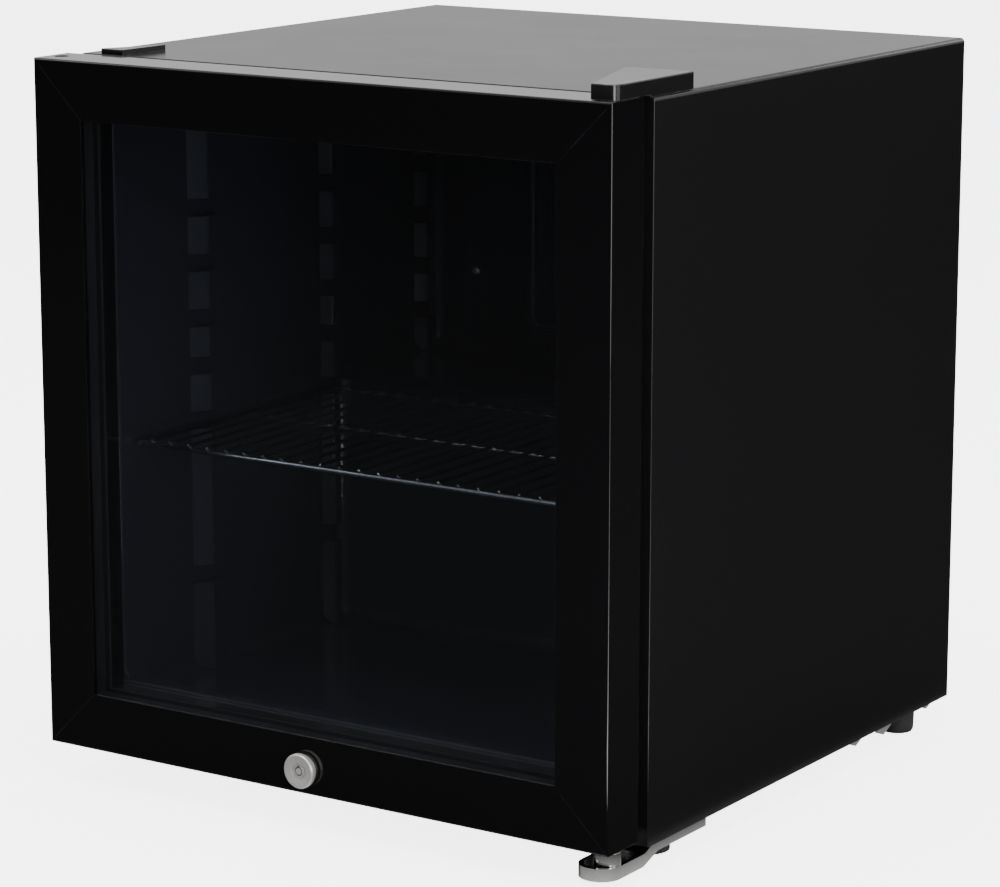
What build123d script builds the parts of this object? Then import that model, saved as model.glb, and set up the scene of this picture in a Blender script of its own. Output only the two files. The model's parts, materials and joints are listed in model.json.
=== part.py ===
"""Glass-door mini fridge: foamed cabinet, framed glass door, half-depth wire shelf, cooling unit.

Millimetres. +Z is up and the door faces -Y. The origin is on the floor, under the middle of
the whole box, lock to back edge.
"""

from build123d import *
import os

os.makedirs("parts", exist_ok=True)

# ------------------------------------------------------------------ driving dimensions
# Cabinet
width = 430.0
cabinet_height = 454.0
cabinet_depth = 397.0
floor_gap = 17.5
sheet = 0.8
shell_radius = 3.0
fold_radius = 0.7
front_return = 22.0
rear_return = 7.0
bottom_return = 8.0
rear_recess = 13.0
# Liner
side_wall = 27.0
roof_wall = 28.5
floor_wall = 30.5
rear_foam = 23.0
hump_length = 117.0
hump_height = 179.0
sill_height = 13.0
sill_depth = 12.0
sill_run = 17.0
liner_wall = 2.0
liner_corner = 12.0
liner_edge = 10.0
lip_width = 5.0
lip_depth = 8.0
lip_radius = 4.0
flange_reach = 15.0
foam_wall = 25.0
# Shelf ribs of the liner
rib_proud = 8.0
rib_widths = (28.0, 15.0, 18.0)
rib_slopes = (12.0, 5.0, 6.0)
rib_draft = 2.0
rib_radius = 3.0
rib_setback = 76.0
rib_before_hump = 22.0
rib_before_back = 25.0
shelf_rises = (61.0, 167.0)
shelf_drops = (191.0, 159.0, 122.0, 85.0)
notch_height = 12.0
# Wire shelf
shelf_setback = 16.0
shelf_clear = 6.0
shelf_side_gap = 2.0
rail_radius = 2.0
wire_radius = 1.2
wire_pitch = 15.1
weld_sink = 0.4
rest_gap = 0.3
# Door
door_over_top = 1.0
door_lift = 6.5
door_depth = 34.0
frame_face = 37.5
frame_edge = 1.2
gasket_gap = 12.0
glass_hold = 10.0
glass_clear = 0.5
front_lip = 1.8
pane = 4.0
pane_gap = 9.0
seal_thick = 2.0
chamber_inset = 3.0
chamber_width = 20.0
chamber_front = 5.0
chamber_web = 2.0
key_leg = 46.0
key_clear = 0.15
# Gasket
gasket_edge = 10.0
gasket_width = 10.0
gasket_rise = 27.0
gasket_clear = 0.2
dart_width = 4.0
dart_depth = 5.0
# Hinge axis and pins
pivot_side = 10.0
pivot_front = 16.0
pin_radius = 3.0
pin_clear = 0.05
bush_radius = 4.8
bush_length = 14.0
bush_flange = 0.8
bush_flange_radius = 7.0
plug_sunk = 0.6
play = 0.3
# Upper hinge
plate_thick = 2.5
cover_height = 10.5
cover_wall = 1.6
cover_front = 4.0
cover_rear = 44.0
cover_front_width = 17.0
cover_rear_width = 47.0
cover_radius = 9.0
# Lower hinge
bracket_front = 1.0
bracket_width = 27.0
bracket_tail_width = 52.0
bracket_tail = 69.0
bracket_tail_thick = 5.0
bracket_lip = 8.0
bracket_drop = 11.0
boss_radius = 8.5
# Blanking cap on the unused side
blank_thick = 3.5
# Lock
lock_proud = 6.0
lock_x = -9.0
lock_rise = 16.0
lock_flange_radius = 11.2
lock_body_radius = 9.0
plug_radius = 4.0
plug_clear = 0.05
nut_across = 21.0
nut_thick = 3.5
cam_thick = 2.0
cam_reach = 17.0
cam_width = 8.0
tail_square = 5.6
# Feet
foot_radius = 14.0
foot_thick = 7.0
stud_radius = 4.0
stud_clear = 0.05
foot_side = 27.0
foot_setback = 44.0
rear_foot_radius = 12.0
rear_foot_side = 18.0
rear_foot_back = 40.0
# Machine space and cooling unit
base_thick = 1.8
base_inset = 9.0
base_lead = 11.0
compressor_radius = 50.0
compressor_height = 112.0
compressor_x = -45.0
grommet_height = 13.0
pipe_radius = 3.0
fine_pipe_radius = 2.4
drain_radius = 5.0
coil_radius = 2.4
coil_headroom = 57.5
coil_footroom = 30.0
coil_runs = 8
grid_radius = 0.8
grid_pitch = 13.0
# Evaporator
plate_inset = 30.0
plate_clear = 3.0
evaporator_thick = 1.4
channel_width = 8.0
channel_proud = 2.2
# Control box
control_depth = 26.0
control_lead = 4.0
control_length = 94.0
control_height = 48.0
control_wall = 2.0
knob_radius = 13.0

# ------------------------------------------------------------------ derived planes
half = width / 2
overall_depth = lock_proud + door_depth + gasket_gap + cabinet_depth
door_front = lock_proud - overall_depth / 2
door_back = door_front + door_depth
cabinet_front = door_back + gasket_gap
cabinet_back = cabinet_front + cabinet_depth
cabinet_top = floor_gap + cabinet_height
door_bottom = floor_gap + door_lift
door_top = cabinet_top + door_over_top
door_height = door_top - door_bottom
inner_half = half - side_wall
rear_plane = cabinet_back - rear_recess
liner_back = rear_plane - rear_foam
liner_floor = floor_gap + floor_wall
liner_roof = cabinet_top - roof_wall
sill_top = liner_floor + sill_height
shelf_levels = [
    *(liner_floor + rise for rise in shelf_rises),
    *(liner_roof - drop for drop in shelf_drops),
]
plate_half = inner_half - plate_inset
hump_front = liner_back - hump_length
hump_top = liner_floor + hump_height
machine_front = hump_front + foam_wall
rib_fronts = (
    cabinet_front + rib_setback,
    hump_front - rib_before_hump,
    liner_back - rib_before_back,
)
machine_roof = hump_top - foam_wall
pivot_x = half - pivot_side
pivot_y = door_front + pivot_front
window_half = half - frame_face
window_low = door_bottom + frame_face
window_high = door_top - frame_face
rebate_back = door_front + front_lip + 2 * pane + pane_gap + seal_thick
chamber_depth = door_depth - chamber_front - dart_depth - chamber_web
lock_z = door_bottom + lock_rise
lock_end = door_back + nut_thick + 0.5


def block(low, high, mode=Mode.ADD):
    """A box between its low and its high corner, in the piece being built."""
    with Locations(tuple((a + b) / 2 for a, b in zip(low, high))):
        Box(*(b - a for a, b in zip(low, high)), mode=mode)


def rod(start, end, radius, mode=Mode.ADD):
    """A round bar from one point to another along an axis."""
    path = Vector(*end) - Vector(*start)
    with Locations(Plane(origin=start, z_dir=path)):
        Cylinder(radius, path.length, align=(Align.CENTER, Align.CENTER, Align.MIN), mode=mode)


def pipe(points, bend, radius):
    """A round tube's solid that follows straight runs joined by bends."""
    with BuildPart() as tube:
        with BuildLine() as route:
            FilletPolyline(*points, radius=bend)
        with BuildSketch(Plane(origin=route.line @ 0, z_dir=route.line % 0)):
            Circle(radius)
        sweep()
    return tube.part


def save(piece, name):
    """Label a finished piece and write its STEP file."""
    piece.part.label = name
    export_step(piece.part, f"parts/{name}.step")


def at_depth(y):
    """The plane across the fridge at depth y, with X across and Z up."""
    return Plane.XZ.offset(-y)


# ------------------------------------------------------------------ cabinet: painted steel shell
def wrap_ring(reach):
    """The U of the wrap, seen from the front, as wide as reach."""
    with Locations((0, floor_gap + cabinet_height / 2)):
        Rectangle(width, cabinet_height)
    fillet(vertices_above(cabinet_top - 1), shell_radius)
    inner_height = cabinet_height - reach
    with Locations((0, floor_gap + inner_height / 2)):
        Rectangle(width - 2 * reach, inner_height, mode=Mode.SUBTRACT)


def vertices_above(height):
    """The corners of the sketch being built that lie above a height."""
    return [v for v in vertices() if v.Y > height]


with BuildPart() as outer_shell:
    with BuildSketch(at_depth(cabinet_front)):
        wrap_ring(sheet)
    extrude(amount=-cabinet_depth)
    with BuildSketch(at_depth(cabinet_front)):
        wrap_ring(front_return)
    extrude(amount=-sheet)
    fold = outer_shell.faces().sort_by(Axis.Y)[0].outer_wire().edges()
    fillet(
        [e for e in fold if abs(e.center().X) > half - shell_radius
         or e.center().Z > cabinet_top - shell_radius],
        fold_radius,
    )
    with BuildSketch(at_depth(cabinet_back)):
        wrap_ring(rear_return)
    extrude(amount=sheet)
    for side in (-1, 1):
        edge = sorted((side * half, side * (half - bottom_return)))
        block((edge[0], cabinet_front, floor_gap), (edge[1], cabinet_back, floor_gap + sheet))
save(outer_shell, "outer_shell")

foot_centres = [(side * (half - foot_side), cabinet_front + foot_setback) for side in (-1, 1)]
pan_half = half - sheet - 0.2
suction_x = 120.0
suction_y = rear_plane - 9.0
suction_route = (
    (suction_x, suction_y, machine_roof - 60.0),
    (suction_x, suction_y, hump_top + 55.0),
    (suction_x, liner_back - plate_clear, hump_top + 55.0),
)
drain_y = liner_back - 20.0

with BuildPart() as bottom_panel:
    low = floor_gap + sheet
    block(
        (-half + front_return + 0.2, cabinet_front, low),
        (half - front_return - 0.2, cabinet_front + sheet, sill_top - lip_width - 0.2),
    )
    block((-pan_half, cabinet_front + sheet, low), (pan_half, machine_front, low + sheet))
    block(
        (-pan_half, machine_front - sheet, low),
        (pan_half, machine_front, machine_roof),
    )
    block(
        (-pan_half, machine_front - sheet, machine_roof),
        (pan_half, rear_plane, machine_roof + sheet),
    )
    for x, y in foot_centres:
        rod((x, y, 0), (x, y, low + 5), stud_radius + 1, mode=Mode.SUBTRACT)
    rod(
        (suction_x, suction_y, machine_roof - 5),
        (suction_x, suction_y, machine_roof + 5),
        pipe_radius + play,
        mode=Mode.SUBTRACT,
    )
    rod((0, drain_y, machine_roof - 5), (0, drain_y, machine_roof + 5), drain_radius + play,
        mode=Mode.SUBTRACT)
save(bottom_panel, "bottom_panel")

with BuildPart() as rear_panel:
    block(
        (-pan_half, rear_plane, machine_roof),
        (pan_half, rear_plane + sheet, cabinet_top - sheet - 0.2),
    )
save(rear_panel, "rear_panel")


# ------------------------------------------------------------------ cabinet: liner and foam
def liner_profile(grow):
    """The cavity seen from the side, grown by the liner's wall where asked."""
    with BuildLine() as side_view:
        Polyline(
            (cabinet_front, sill_top),
            (cabinet_front + sill_depth, sill_top),
            (cabinet_front + sill_depth + sill_run, liner_floor),
            (hump_front, liner_floor),
            (hump_front, hump_top),
            (liner_back, hump_top),
            (liner_back, liner_roof),
            (cabinet_front, liner_roof),
            close=True,
        )
    make_face(side_view.line)
    fillet([v for v in vertices() if v.X > cabinet_front + 1], liner_corner)
    if grow:
        offset(amount=grow, kind=Kind.INTERSECTION)


def side_edges(piece, reach):
    """The long edges round the two side faces of the cavity."""
    faces = [f for f in piece.faces().filter_by(Axis.X) if abs(abs(f.center().X) - reach) < 0.1]
    found = [e for face in faces for e in face.edges()]
    return [e for e in found if e.center().Y > cabinet_front + 1]


with BuildPart() as cavity:
    with BuildSketch(Plane.YZ):
        liner_profile(0)
    extrude(amount=inner_half, both=True)
    fillet(side_edges(cavity, inner_half), liner_edge)

with BuildPart() as liner_skin:
    with BuildSketch(Plane.YZ):
        liner_profile(liner_wall)
    extrude(amount=inner_half + liner_wall, both=True)
    fillet(side_edges(liner_skin, inner_half + liner_wall), liner_edge + liner_wall)
    block((-half, cabinet_front - 20, 0), (half, cabinet_front, cabinet_top), mode=Mode.SUBTRACT)
    lip_half = inner_half + lip_width
    block(
        (-lip_half, cabinet_front, sill_top - lip_width),
        (lip_half, cabinet_front + lip_depth, liner_roof + lip_width),
    )
    block(
        (-lip_half - flange_reach, cabinet_front + sheet, sill_top - lip_width - flange_reach),
        (lip_half + flange_reach, cabinet_front + sheet + liner_wall,
         liner_roof + lip_width + flange_reach),
    )

with BuildPart() as inner_liner:
    add(liner_skin.part)
    add(cavity.part, mode=Mode.SUBTRACT)
    lip_face = inner_liner.faces().sort_by(Axis.Y)[0]
    fillet(lip_face.inner_wires()[0].edges(), lip_radius)
    for side in (-1, 1):
        for wide, slope, rib_front in zip(rib_widths, rib_slopes, rib_fronts):
            over_hump = rib_front + wide > hump_front
            foot_z = (hump_top if over_hump else liner_floor) - 1
            with BuildSketch(Plane.XY.offset(foot_z)):
                with BuildLine():
                    Polyline(
                        (side * (inner_half + 1), rib_front),
                        (side * inner_half, rib_front),
                        (side * (inner_half - rib_proud), rib_front + slope),
                        (side * (inner_half - rib_proud), rib_front + wide - rib_draft),
                        (side * inner_half, rib_front + wide),
                        (side * (inner_half + 1), rib_front + wide),
                        close=True,
                    )
                make_face()
                fillet([v for v in vertices() if abs(v.X) < inner_half - 1], rib_radius)
            extrude(amount=liner_roof + 1 - foot_z)
        for level in shelf_levels:
            reach = sorted((side * (inner_half - rib_proud - 1), side * inner_half))
            stop = liner_back if level > hump_top else hump_front
            block(
                (reach[0], cabinet_front + lip_depth, level),
                (reach[1], stop - liner_edge / 2, level + notch_height),
                mode=Mode.SUBTRACT,
            )
    rod((0, drain_y, hump_top - 10), (0, drain_y, hump_top + 2), drain_radius - 1,
        mode=Mode.SUBTRACT)
    rod(
        (suction_x, liner_back - 1, suction_route[2][2]),
        (suction_x, liner_back + liner_wall + 1, suction_route[2][2]),
        pipe_radius + play,
        mode=Mode.SUBTRACT,
    )
    add(liner_skin.part, mode=Mode.INTERSECT)
save(inner_liner, "inner_liner")

pipe_room = pipe(suction_route, 9.0, pipe_radius + play)

with BuildPart() as cabinet_foam:
    block(
        (-pan_half, cabinet_front + sheet, floor_gap + 2 * sheet),
        (pan_half, rear_plane, cabinet_top - sheet - shell_radius),
    )
    block(
        (-pan_half + shell_radius, cabinet_front + sheet, cabinet_top - sheet - shell_radius),
        (pan_half - shell_radius, rear_plane, cabinet_top - sheet - 0.2),
    )
    block(
        (-half, machine_front - sheet, 0),
        (half, rear_plane + 1, machine_roof + sheet),
        mode=Mode.SUBTRACT,
    )
    add(liner_skin.part, mode=Mode.SUBTRACT)
    add(pipe_room, mode=Mode.SUBTRACT)
    rod((0, drain_y, 0), (0, drain_y, hump_top), drain_radius + play, mode=Mode.SUBTRACT)
    for x, y in foot_centres:
        rod((x, y, 0), (x, y, floor_gap + 16), 8.5, mode=Mode.SUBTRACT)
save(cabinet_foam, "cabinet_foam")

# ------------------------------------------------------------------ evaporator
evaporator_low = hump_top + 8.0
evaporator_high = liner_roof - 6.0
evaporator_front = liner_back - plate_clear - evaporator_thick
evaporator_back = liner_back - plate_clear
stud_spots = [(side * (plate_half - 10), z) for side in (-1, 1)
              for z in (evaporator_low + 52, evaporator_high - 20)]
channel_low = evaporator_low + 16.0
channel_high = evaporator_high - 10.0


def u_channel(reach, low):
    """One hairpin of the refrigerant channel, open at the top."""
    return (
        (-reach, channel_high),
        (-reach, low),
        (reach, low),
        (reach, channel_high),
    )


def snake_channel(reach, step, low):
    """The middle of the channel: upright runs joined top and bottom."""
    points = []
    for i in range(int(2 * reach / step) + 1):
        x = -reach + i * step
        ends = [(x, channel_high), (x, low)]
        points += ends if i % 2 == 0 else ends[::-1]
    return points


with BuildPart() as evaporator_plate:
    block(
        (-plate_half, evaporator_front, evaporator_low),
        (plate_half, evaporator_back, evaporator_high),
    )
    for points in (
        u_channel(100.0, channel_low),
        u_channel(80.0, channel_low + 15),
        snake_channel(60.0, 20.0, channel_low + 34),
    ):
        with BuildSketch(at_depth(evaporator_front)):
            with BuildLine():
                FilletPolyline(*points, radius=9.0)
            trace(line_width=channel_width)
        extrude(amount=channel_proud)
    for x, z in stud_spots:
        rod((x, evaporator_front - 5, z), (x, liner_back, z), 2.0, mode=Mode.SUBTRACT)
save(evaporator_plate, "evaporator_plate")

with BuildPart() as evaporator_screws:
    for x, z in stud_spots:
        rod((x, evaporator_front - 2.2, z), (x, evaporator_front, z), 4.0)
        rod((x, evaporator_front, z), (x, evaporator_back, z), 1.9)
        rod((x, evaporator_back, z), (x, liner_back, z), 4.0)
save(evaporator_screws, "evaporator_screws")

# ------------------------------------------------------------------ wire shelf
shelf_half = inner_half - shelf_side_gap
shelf_front = cabinet_front + shelf_setback
shelf_back = hump_front - shelf_clear
shelf_floor = shelf_levels[1]
rail_z = shelf_floor + rest_gap + rail_radius
wire_z = rail_z + rail_radius + wire_radius - weld_sink
wire_count = int((2 * shelf_half - 12) / wire_pitch) + 1

with BuildPart() as wire_shelf:
    side_x = shelf_half - rail_radius
    front_y = shelf_front + rail_radius
    back_y = shelf_back - rail_radius
    for y in (front_y, back_y):
        rod((-shelf_half, y, rail_z), (shelf_half, y, rail_z), rail_radius)
    for x in (-side_x, side_x):
        rod((x, front_y, rail_z), (x, back_y, rail_z), rail_radius * 0.9)
    stay_y = (front_y + back_y) / 2
    rod((-side_x, stay_y, rail_z), (side_x, stay_y, rail_z), rail_radius * 0.75)
    for i in range(wire_count):
        x = (i - (wire_count - 1) / 2) * wire_pitch
        rod((x, shelf_front - 0.4, wire_z), (x, shelf_back + 0.4, wire_z), wire_radius)
save(wire_shelf, "wire_shelf")

# ------------------------------------------------------------------ control box, knob, lamp, switch
box_x = inner_half
box_front = hump_front - control_lead
box_low = liner_roof - control_height
face_x = box_x - control_depth
knob_y = box_front + 26.0
knob_z = box_low + control_height / 2
lens_y = box_front + 54.0
switch_y = box_front + 80.0
switch_half_length = 7.0
switch_half_height = 5.0

with BuildPart() as thermostat_housing:
    block((face_x, box_front, box_low), (box_x, box_front + control_length, liner_roof - 1))
    fillet(thermostat_housing.edges().filter_by(Axis.Z).group_by(Axis.X)[0], 4.0)
    block(
        (face_x + control_wall, box_front + control_wall, box_low + control_wall),
        (box_x + 1, box_front + control_length - control_wall, liner_roof - 1 - control_wall),
        mode=Mode.SUBTRACT,
    )
    rod((face_x - 1, knob_y, knob_z), (face_x + 5, knob_y, knob_z), pin_radius + pin_clear,
        mode=Mode.SUBTRACT)
    block(
        (face_x - 1, switch_y - switch_half_length - play, knob_z - switch_half_height - play),
        (face_x + 5, switch_y + switch_half_length + play, knob_z + switch_half_height + play),
        mode=Mode.SUBTRACT,
    )
    add(cavity.part, mode=Mode.INTERSECT)
save(thermostat_housing, "thermostat_housing")

with BuildPart() as thermostat_knob:
    rod((face_x - 9, knob_y, knob_z), (face_x - play, knob_y, knob_z), knob_radius)
    chamfer(thermostat_knob.edges().filter_by(GeomType.CIRCLE).group_by(Axis.X)[0], 1.2)
    with Locations(Plane(origin=(face_x - 4, knob_y, knob_z), z_dir=(1, 0, 0))):
        with PolarLocations(knob_radius, 12):
            Cylinder(1.2, 12, mode=Mode.SUBTRACT)
    block((face_x - 10.5, knob_y - 1.2, knob_z), (face_x - 8, knob_y + 1.2, knob_z + 10))
    rod((face_x - play - 1, knob_y, knob_z), (face_x + 10, knob_y, knob_z), pin_radius)
save(thermostat_knob, "thermostat_knob")

with BuildPart() as lamp_cover:
    block((face_x - 4, lens_y - 11, knob_z - 16), (face_x, lens_y + 11, knob_z + 16))
    fillet(lamp_cover.edges().filter_by(Axis.X), 4.0)
    fillet(lamp_cover.faces().sort_by(Axis.X)[0].edges(), 2.0)
save(lamp_cover, "lamp_cover")

with BuildPart() as light_switch:
    with BuildSketch(Plane.XY.offset(knob_z - switch_half_height)):
        with BuildLine():
            Polyline(
                (face_x - 1.0, switch_y - switch_half_length + 0.4),
                (face_x - 2.0, switch_y),
                (face_x - 1.0, switch_y + switch_half_length - 0.4),
                (face_x + 4.0, switch_y + switch_half_length - 1.6),
                (face_x + 4.0, switch_y - switch_half_length + 1.6),
                close=True,
            )
        make_face()
    extrude(amount=2 * switch_half_height)
save(light_switch, "light_switch")

# ------------------------------------------------------------------ door frame
def door_ring(low, high):
    """A rectangular ring of the door seen from the front, between two insets from its edge."""
    with Locations((0, door_bottom + door_height / 2)):
        Rectangle(width - 2 * low, door_height - 2 * low)
        Rectangle(width - 2 * high, door_height - 2 * high, mode=Mode.SUBTRACT)


def gasket_ring(outer, inner):
    """A ring at the gasket's place: it runs higher along the bottom, above the lock."""
    low = door_bottom + gasket_rise
    high = door_top - gasket_edge
    for inset, mode in ((outer, Mode.ADD), (inner, Mode.SUBTRACT)):
        with Locations((0, (low + high) / 2)):
            Rectangle(width - 2 * gasket_edge - 2 * inset, high - low - 2 * inset, mode=mode)


dart_inset = (gasket_width - dart_width) / 2

with BuildPart() as frame_ring:
    with BuildSketch(at_depth(door_front)):
        door_ring(0, frame_face)
    extrude(amount=-door_depth)
    fillet(frame_ring.faces().sort_by(Axis.Y)[0].outer_wire().edges(), frame_edge)
    with BuildSketch(at_depth(door_front + front_lip)):
        door_ring(frame_face - glass_hold, frame_face + 1)
    extrude(amount=-(rebate_back - door_front - front_lip), mode=Mode.SUBTRACT)
    with BuildSketch(at_depth(door_front + chamber_front)):
        door_ring(chamber_inset, chamber_inset + chamber_width)
    extrude(amount=-chamber_depth, mode=Mode.SUBTRACT)
    with BuildSketch(at_depth(door_back)):
        gasket_ring(dart_inset, dart_inset + dart_width)
    extrude(amount=dart_depth, mode=Mode.SUBTRACT)
    rod((lock_x, door_front - 1, lock_z), (lock_x, door_back + 1, lock_z),
        lock_body_radius + 0.1, mode=Mode.SUBTRACT)
    for x in (-pivot_x, pivot_x):
        rod((x, pivot_y, door_top - bush_length), (x, pivot_y, door_top + 1), bush_radius,
            mode=Mode.SUBTRACT)
        rod((x, pivot_y, door_bottom - 1), (x, pivot_y, door_bottom + bush_length), bush_radius,
            mode=Mode.SUBTRACT)

mitre = frame_face + 1


def trapezoid_rail(edge_z, inward):
    """The mitred outline of a rail, from the door's edge inwards."""
    return (
        (-half, edge_z),
        (half, edge_z),
        (half - mitre, edge_z + inward * mitre),
        (-half + mitre, edge_z + inward * mitre),
    )


def trapezoid_stile(side):
    """The mitred outline of a stile, from the door's edge inwards."""
    return (
        (side * half, door_bottom),
        (side * half, door_top),
        (side * (half - mitre), door_top - mitre),
        (side * (half - mitre), door_bottom + mitre),
    )


members = {
    "door_rail_bottom": trapezoid_rail(door_bottom, 1),
    "door_rail_top": trapezoid_rail(door_top, -1),
    "door_stile_left": trapezoid_stile(-1),
    "door_stile_right": trapezoid_stile(1),
}
for name, outline in members.items():
    with BuildPart() as member:
        add(frame_ring.part)
        with BuildSketch(at_depth(door_front - 1)):
            with BuildLine():
                Polyline(*outline, close=True)
            make_face()
        extrude(amount=-(door_depth + 2), mode=Mode.INTERSECT)
    save(member, name)

with BuildPart() as corner_keys:
    key_inset = chamber_inset + key_clear
    for x_side in (-1, 1):
        for z_edge, inward in ((door_bottom, 1), (door_top, -1)):
            x_out = x_side * (half - key_inset)
            z_out = z_edge + inward * key_inset
            leg = chamber_width - 2 * key_clear
            front = door_front + chamber_front + key_clear
            back = door_front + chamber_front + chamber_depth - key_clear
            for dx, dz in ((key_leg, leg), (leg, key_leg)):
                xs = sorted((x_out, x_out - x_side * dx))
                zs = sorted((z_out, z_out + inward * dz))
                block((xs[0], front, zs[0]), (xs[1], back, zs[1]))
            rod((x_side * pivot_x, pivot_y, min(z_edge, z_edge + inward * bush_length)),
                (x_side * pivot_x, pivot_y, max(z_edge, z_edge + inward * bush_length)),
                bush_radius, mode=Mode.SUBTRACT)
save(corner_keys, "corner_keys")


# ------------------------------------------------------------------ door glass, seals and gasket
def pane_outline(inset):
    """A sheet that fills the glass rebate, smaller all round by an inset."""
    reach = glass_hold - glass_clear - inset
    with Locations((0, (window_low + window_high) / 2)):
        RectangleRounded(2 * (window_half + reach), window_high - window_low + 2 * reach, 1.5)


glass_front = door_front + front_lip
with BuildPart() as outer_glass:
    with BuildSketch(at_depth(glass_front)):
        pane_outline(0)
    extrude(amount=-pane)
save(outer_glass, "outer_glass")

with BuildPart() as glass_spacer:
    with BuildSketch(at_depth(glass_front + pane)):
        pane_outline(1.0)
        with Locations((0, (window_low + window_high) / 2)):
            Rectangle(2 * window_half + 2, window_high - window_low + 2, mode=Mode.SUBTRACT)
    extrude(amount=-pane_gap)
save(glass_spacer, "glass_spacer")

with BuildPart() as inner_glass:
    with BuildSketch(at_depth(glass_front + pane + pane_gap)):
        pane_outline(0)
    extrude(amount=-pane)
save(inner_glass, "inner_glass")

with BuildPart() as glazing_seal:
    with BuildSketch(at_depth(glass_front + 2 * pane + pane_gap)):
        pane_outline(0)
        with Locations((0, (window_low + window_high) / 2)):
            Rectangle(2 * window_half - 1.5, window_high - window_low - 1.5, mode=Mode.SUBTRACT)
    extrude(amount=-seal_thick)
save(glazing_seal, "glazing_seal")

with BuildPart() as door_gasket:
    with BuildSketch(at_depth(door_back)):
        gasket_ring(0, gasket_width)
    extrude(amount=-3.0)
    with BuildSketch(at_depth(door_back + 3.0)):
        gasket_ring(1.5, gasket_width - 1.5)
    extrude(amount=-3.5)
    with BuildSketch(at_depth(door_back + 6.5)):
        gasket_ring(0, gasket_width)
    extrude(amount=-(gasket_gap - 6.5 - gasket_clear))
    with BuildSketch(at_depth(door_back)):
        gasket_ring(dart_inset + 0.2, dart_inset + dart_width - 0.2)
    extrude(amount=dart_depth - 0.5)
save(door_gasket, "door_gasket")

# ------------------------------------------------------------------ hinges
with BuildPart() as hinge_bushes:
    for edge_z, inward in ((door_top, -1), (door_bottom, 1)):
        deep = edge_z + inward * bush_length
        proud = edge_z - inward * bush_flange
        rod((pivot_x, pivot_y, deep), (pivot_x, pivot_y, edge_z), bush_radius)
        rod((pivot_x, pivot_y, edge_z), (pivot_x, pivot_y, proud), bush_flange_radius)
    rod((pivot_x, pivot_y, 0), (pivot_x, pivot_y, cabinet_top + 20), pin_radius + pin_clear,
        mode=Mode.SUBTRACT)
save(hinge_bushes, "hinge_bushes")

with BuildPart() as door_hole_plugs:
    for edge_z, inward in ((door_top, -1), (door_bottom, 1)):
        rod((-pivot_x, pivot_y, edge_z + inward * plug_sunk),
            (-pivot_x, pivot_y, edge_z + inward * bush_length), bush_radius)
save(door_hole_plugs, "door_hole_plugs")

hinge_plate_low = door_top + bush_flange + play
hinge_left = half - 28.0
top_screws = ((half - 12.0, cabinet_front + 14.0), (half - 22.0, cabinet_front + 27.0),
              (half - 12.0, cabinet_front + 34.0))

with BuildPart() as upper_hinge_bracket:
    with BuildSketch(Plane.XY.offset(hinge_plate_low)):
        with BuildLine():
            Polyline(
                (half - 3, door_front + 9),
                (half - 3, cabinet_front + 40),
                (hinge_left, cabinet_front + 40),
                (hinge_left, cabinet_front + 18),
                (half - 15, door_front + 12),
                close=True,
            )
        make_face()
    extrude(amount=plate_thick)
    block((hinge_left, cabinet_front + 3, cabinet_top),
          (half - 3, cabinet_front + 40, hinge_plate_low))
    fillet(upper_hinge_bracket.edges().filter_by(Axis.Z).group_by(Axis.Y)[0], 2.0)
    rod((pivot_x, pivot_y, 0), (pivot_x, pivot_y, cabinet_top + 20), pin_radius,
        mode=Mode.SUBTRACT)
    for x, y in top_screws:
        rod((x, y, 0), (x, y, cabinet_top + 20), 2.2, mode=Mode.SUBTRACT)
save(upper_hinge_bracket, "upper_hinge_bracket")

with BuildPart() as upper_hinge_pin:
    rod((pivot_x, pivot_y, door_top - bush_length + 1),
        (pivot_x, pivot_y, hinge_plate_low + plate_thick), pin_radius)
    rod((pivot_x, pivot_y, hinge_plate_low + plate_thick),
        (pivot_x, pivot_y, hinge_plate_low + plate_thick + 1.4), pin_radius + 1.2)
save(upper_hinge_pin, "upper_hinge_pin")

cover_top = cabinet_top + cover_height


def cover_outline(inset):
    """The plan of the hinge cover, wide at the back and narrow over the pin."""
    with BuildLine() as plan:
        Polyline(
            (half - inset, door_front + cover_front + inset),
            (half - inset, cabinet_front + cover_rear - inset),
            (half - cover_rear_width + 1.4 * inset, cabinet_front + cover_rear - inset),
            (half - cover_front_width + inset, door_front + cover_front + inset),
            close=True,
        )
    make_face(plan.line)
    fillet(vertices().sort_by(Axis.Y)[:2].sort_by(Axis.X)[-1:], cover_radius - inset)
    fillet(vertices().sort_by(Axis.X)[:1], 5.0 - inset)


with BuildPart() as hinge_cover:
    with BuildSketch(Plane.XY.offset(cabinet_top)):
        cover_outline(0)
    extrude(amount=cover_height)
    fillet(hinge_cover.faces().sort_by(Axis.Z)[-1].edges(), 0.8)
    with BuildSketch(Plane.XY.offset(cabinet_top)):
        cover_outline(cover_wall)
    extrude(amount=cover_height - cover_wall, mode=Mode.SUBTRACT)
    block((0, door_front, 0), (half + 1, cabinet_front - 4, door_top + play), mode=Mode.SUBTRACT)
save(hinge_cover, "hinge_cover")

with BuildPart() as hinge_blank:
    with BuildSketch(Plane.XY.offset(cabinet_top)):
        with BuildLine():
            Polyline(
                (-half + 14, cabinet_front + 0.5),
                (-half + 34, cabinet_front + 0.5),
                (-half + 36, cabinet_front + 42),
                close=True,
            )
        make_face()
        fillet(vertices().sort_by(Axis.Y)[:2], 2.5)
    extrude(amount=blank_thick)
save(hinge_blank, "hinge_blank")

bracket_low = floor_gap - bracket_drop
bracket_shelf = bracket_low + bracket_lip
tail_low = floor_gap - bracket_tail_thick
tail_y = cabinet_front + bracket_tail
boss_top = door_bottom - bush_flange - play
bracket_screws = ((half - 12, tail_y - 12), (half - 38, tail_y - 12), (half - 38, tail_y - 40))

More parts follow.
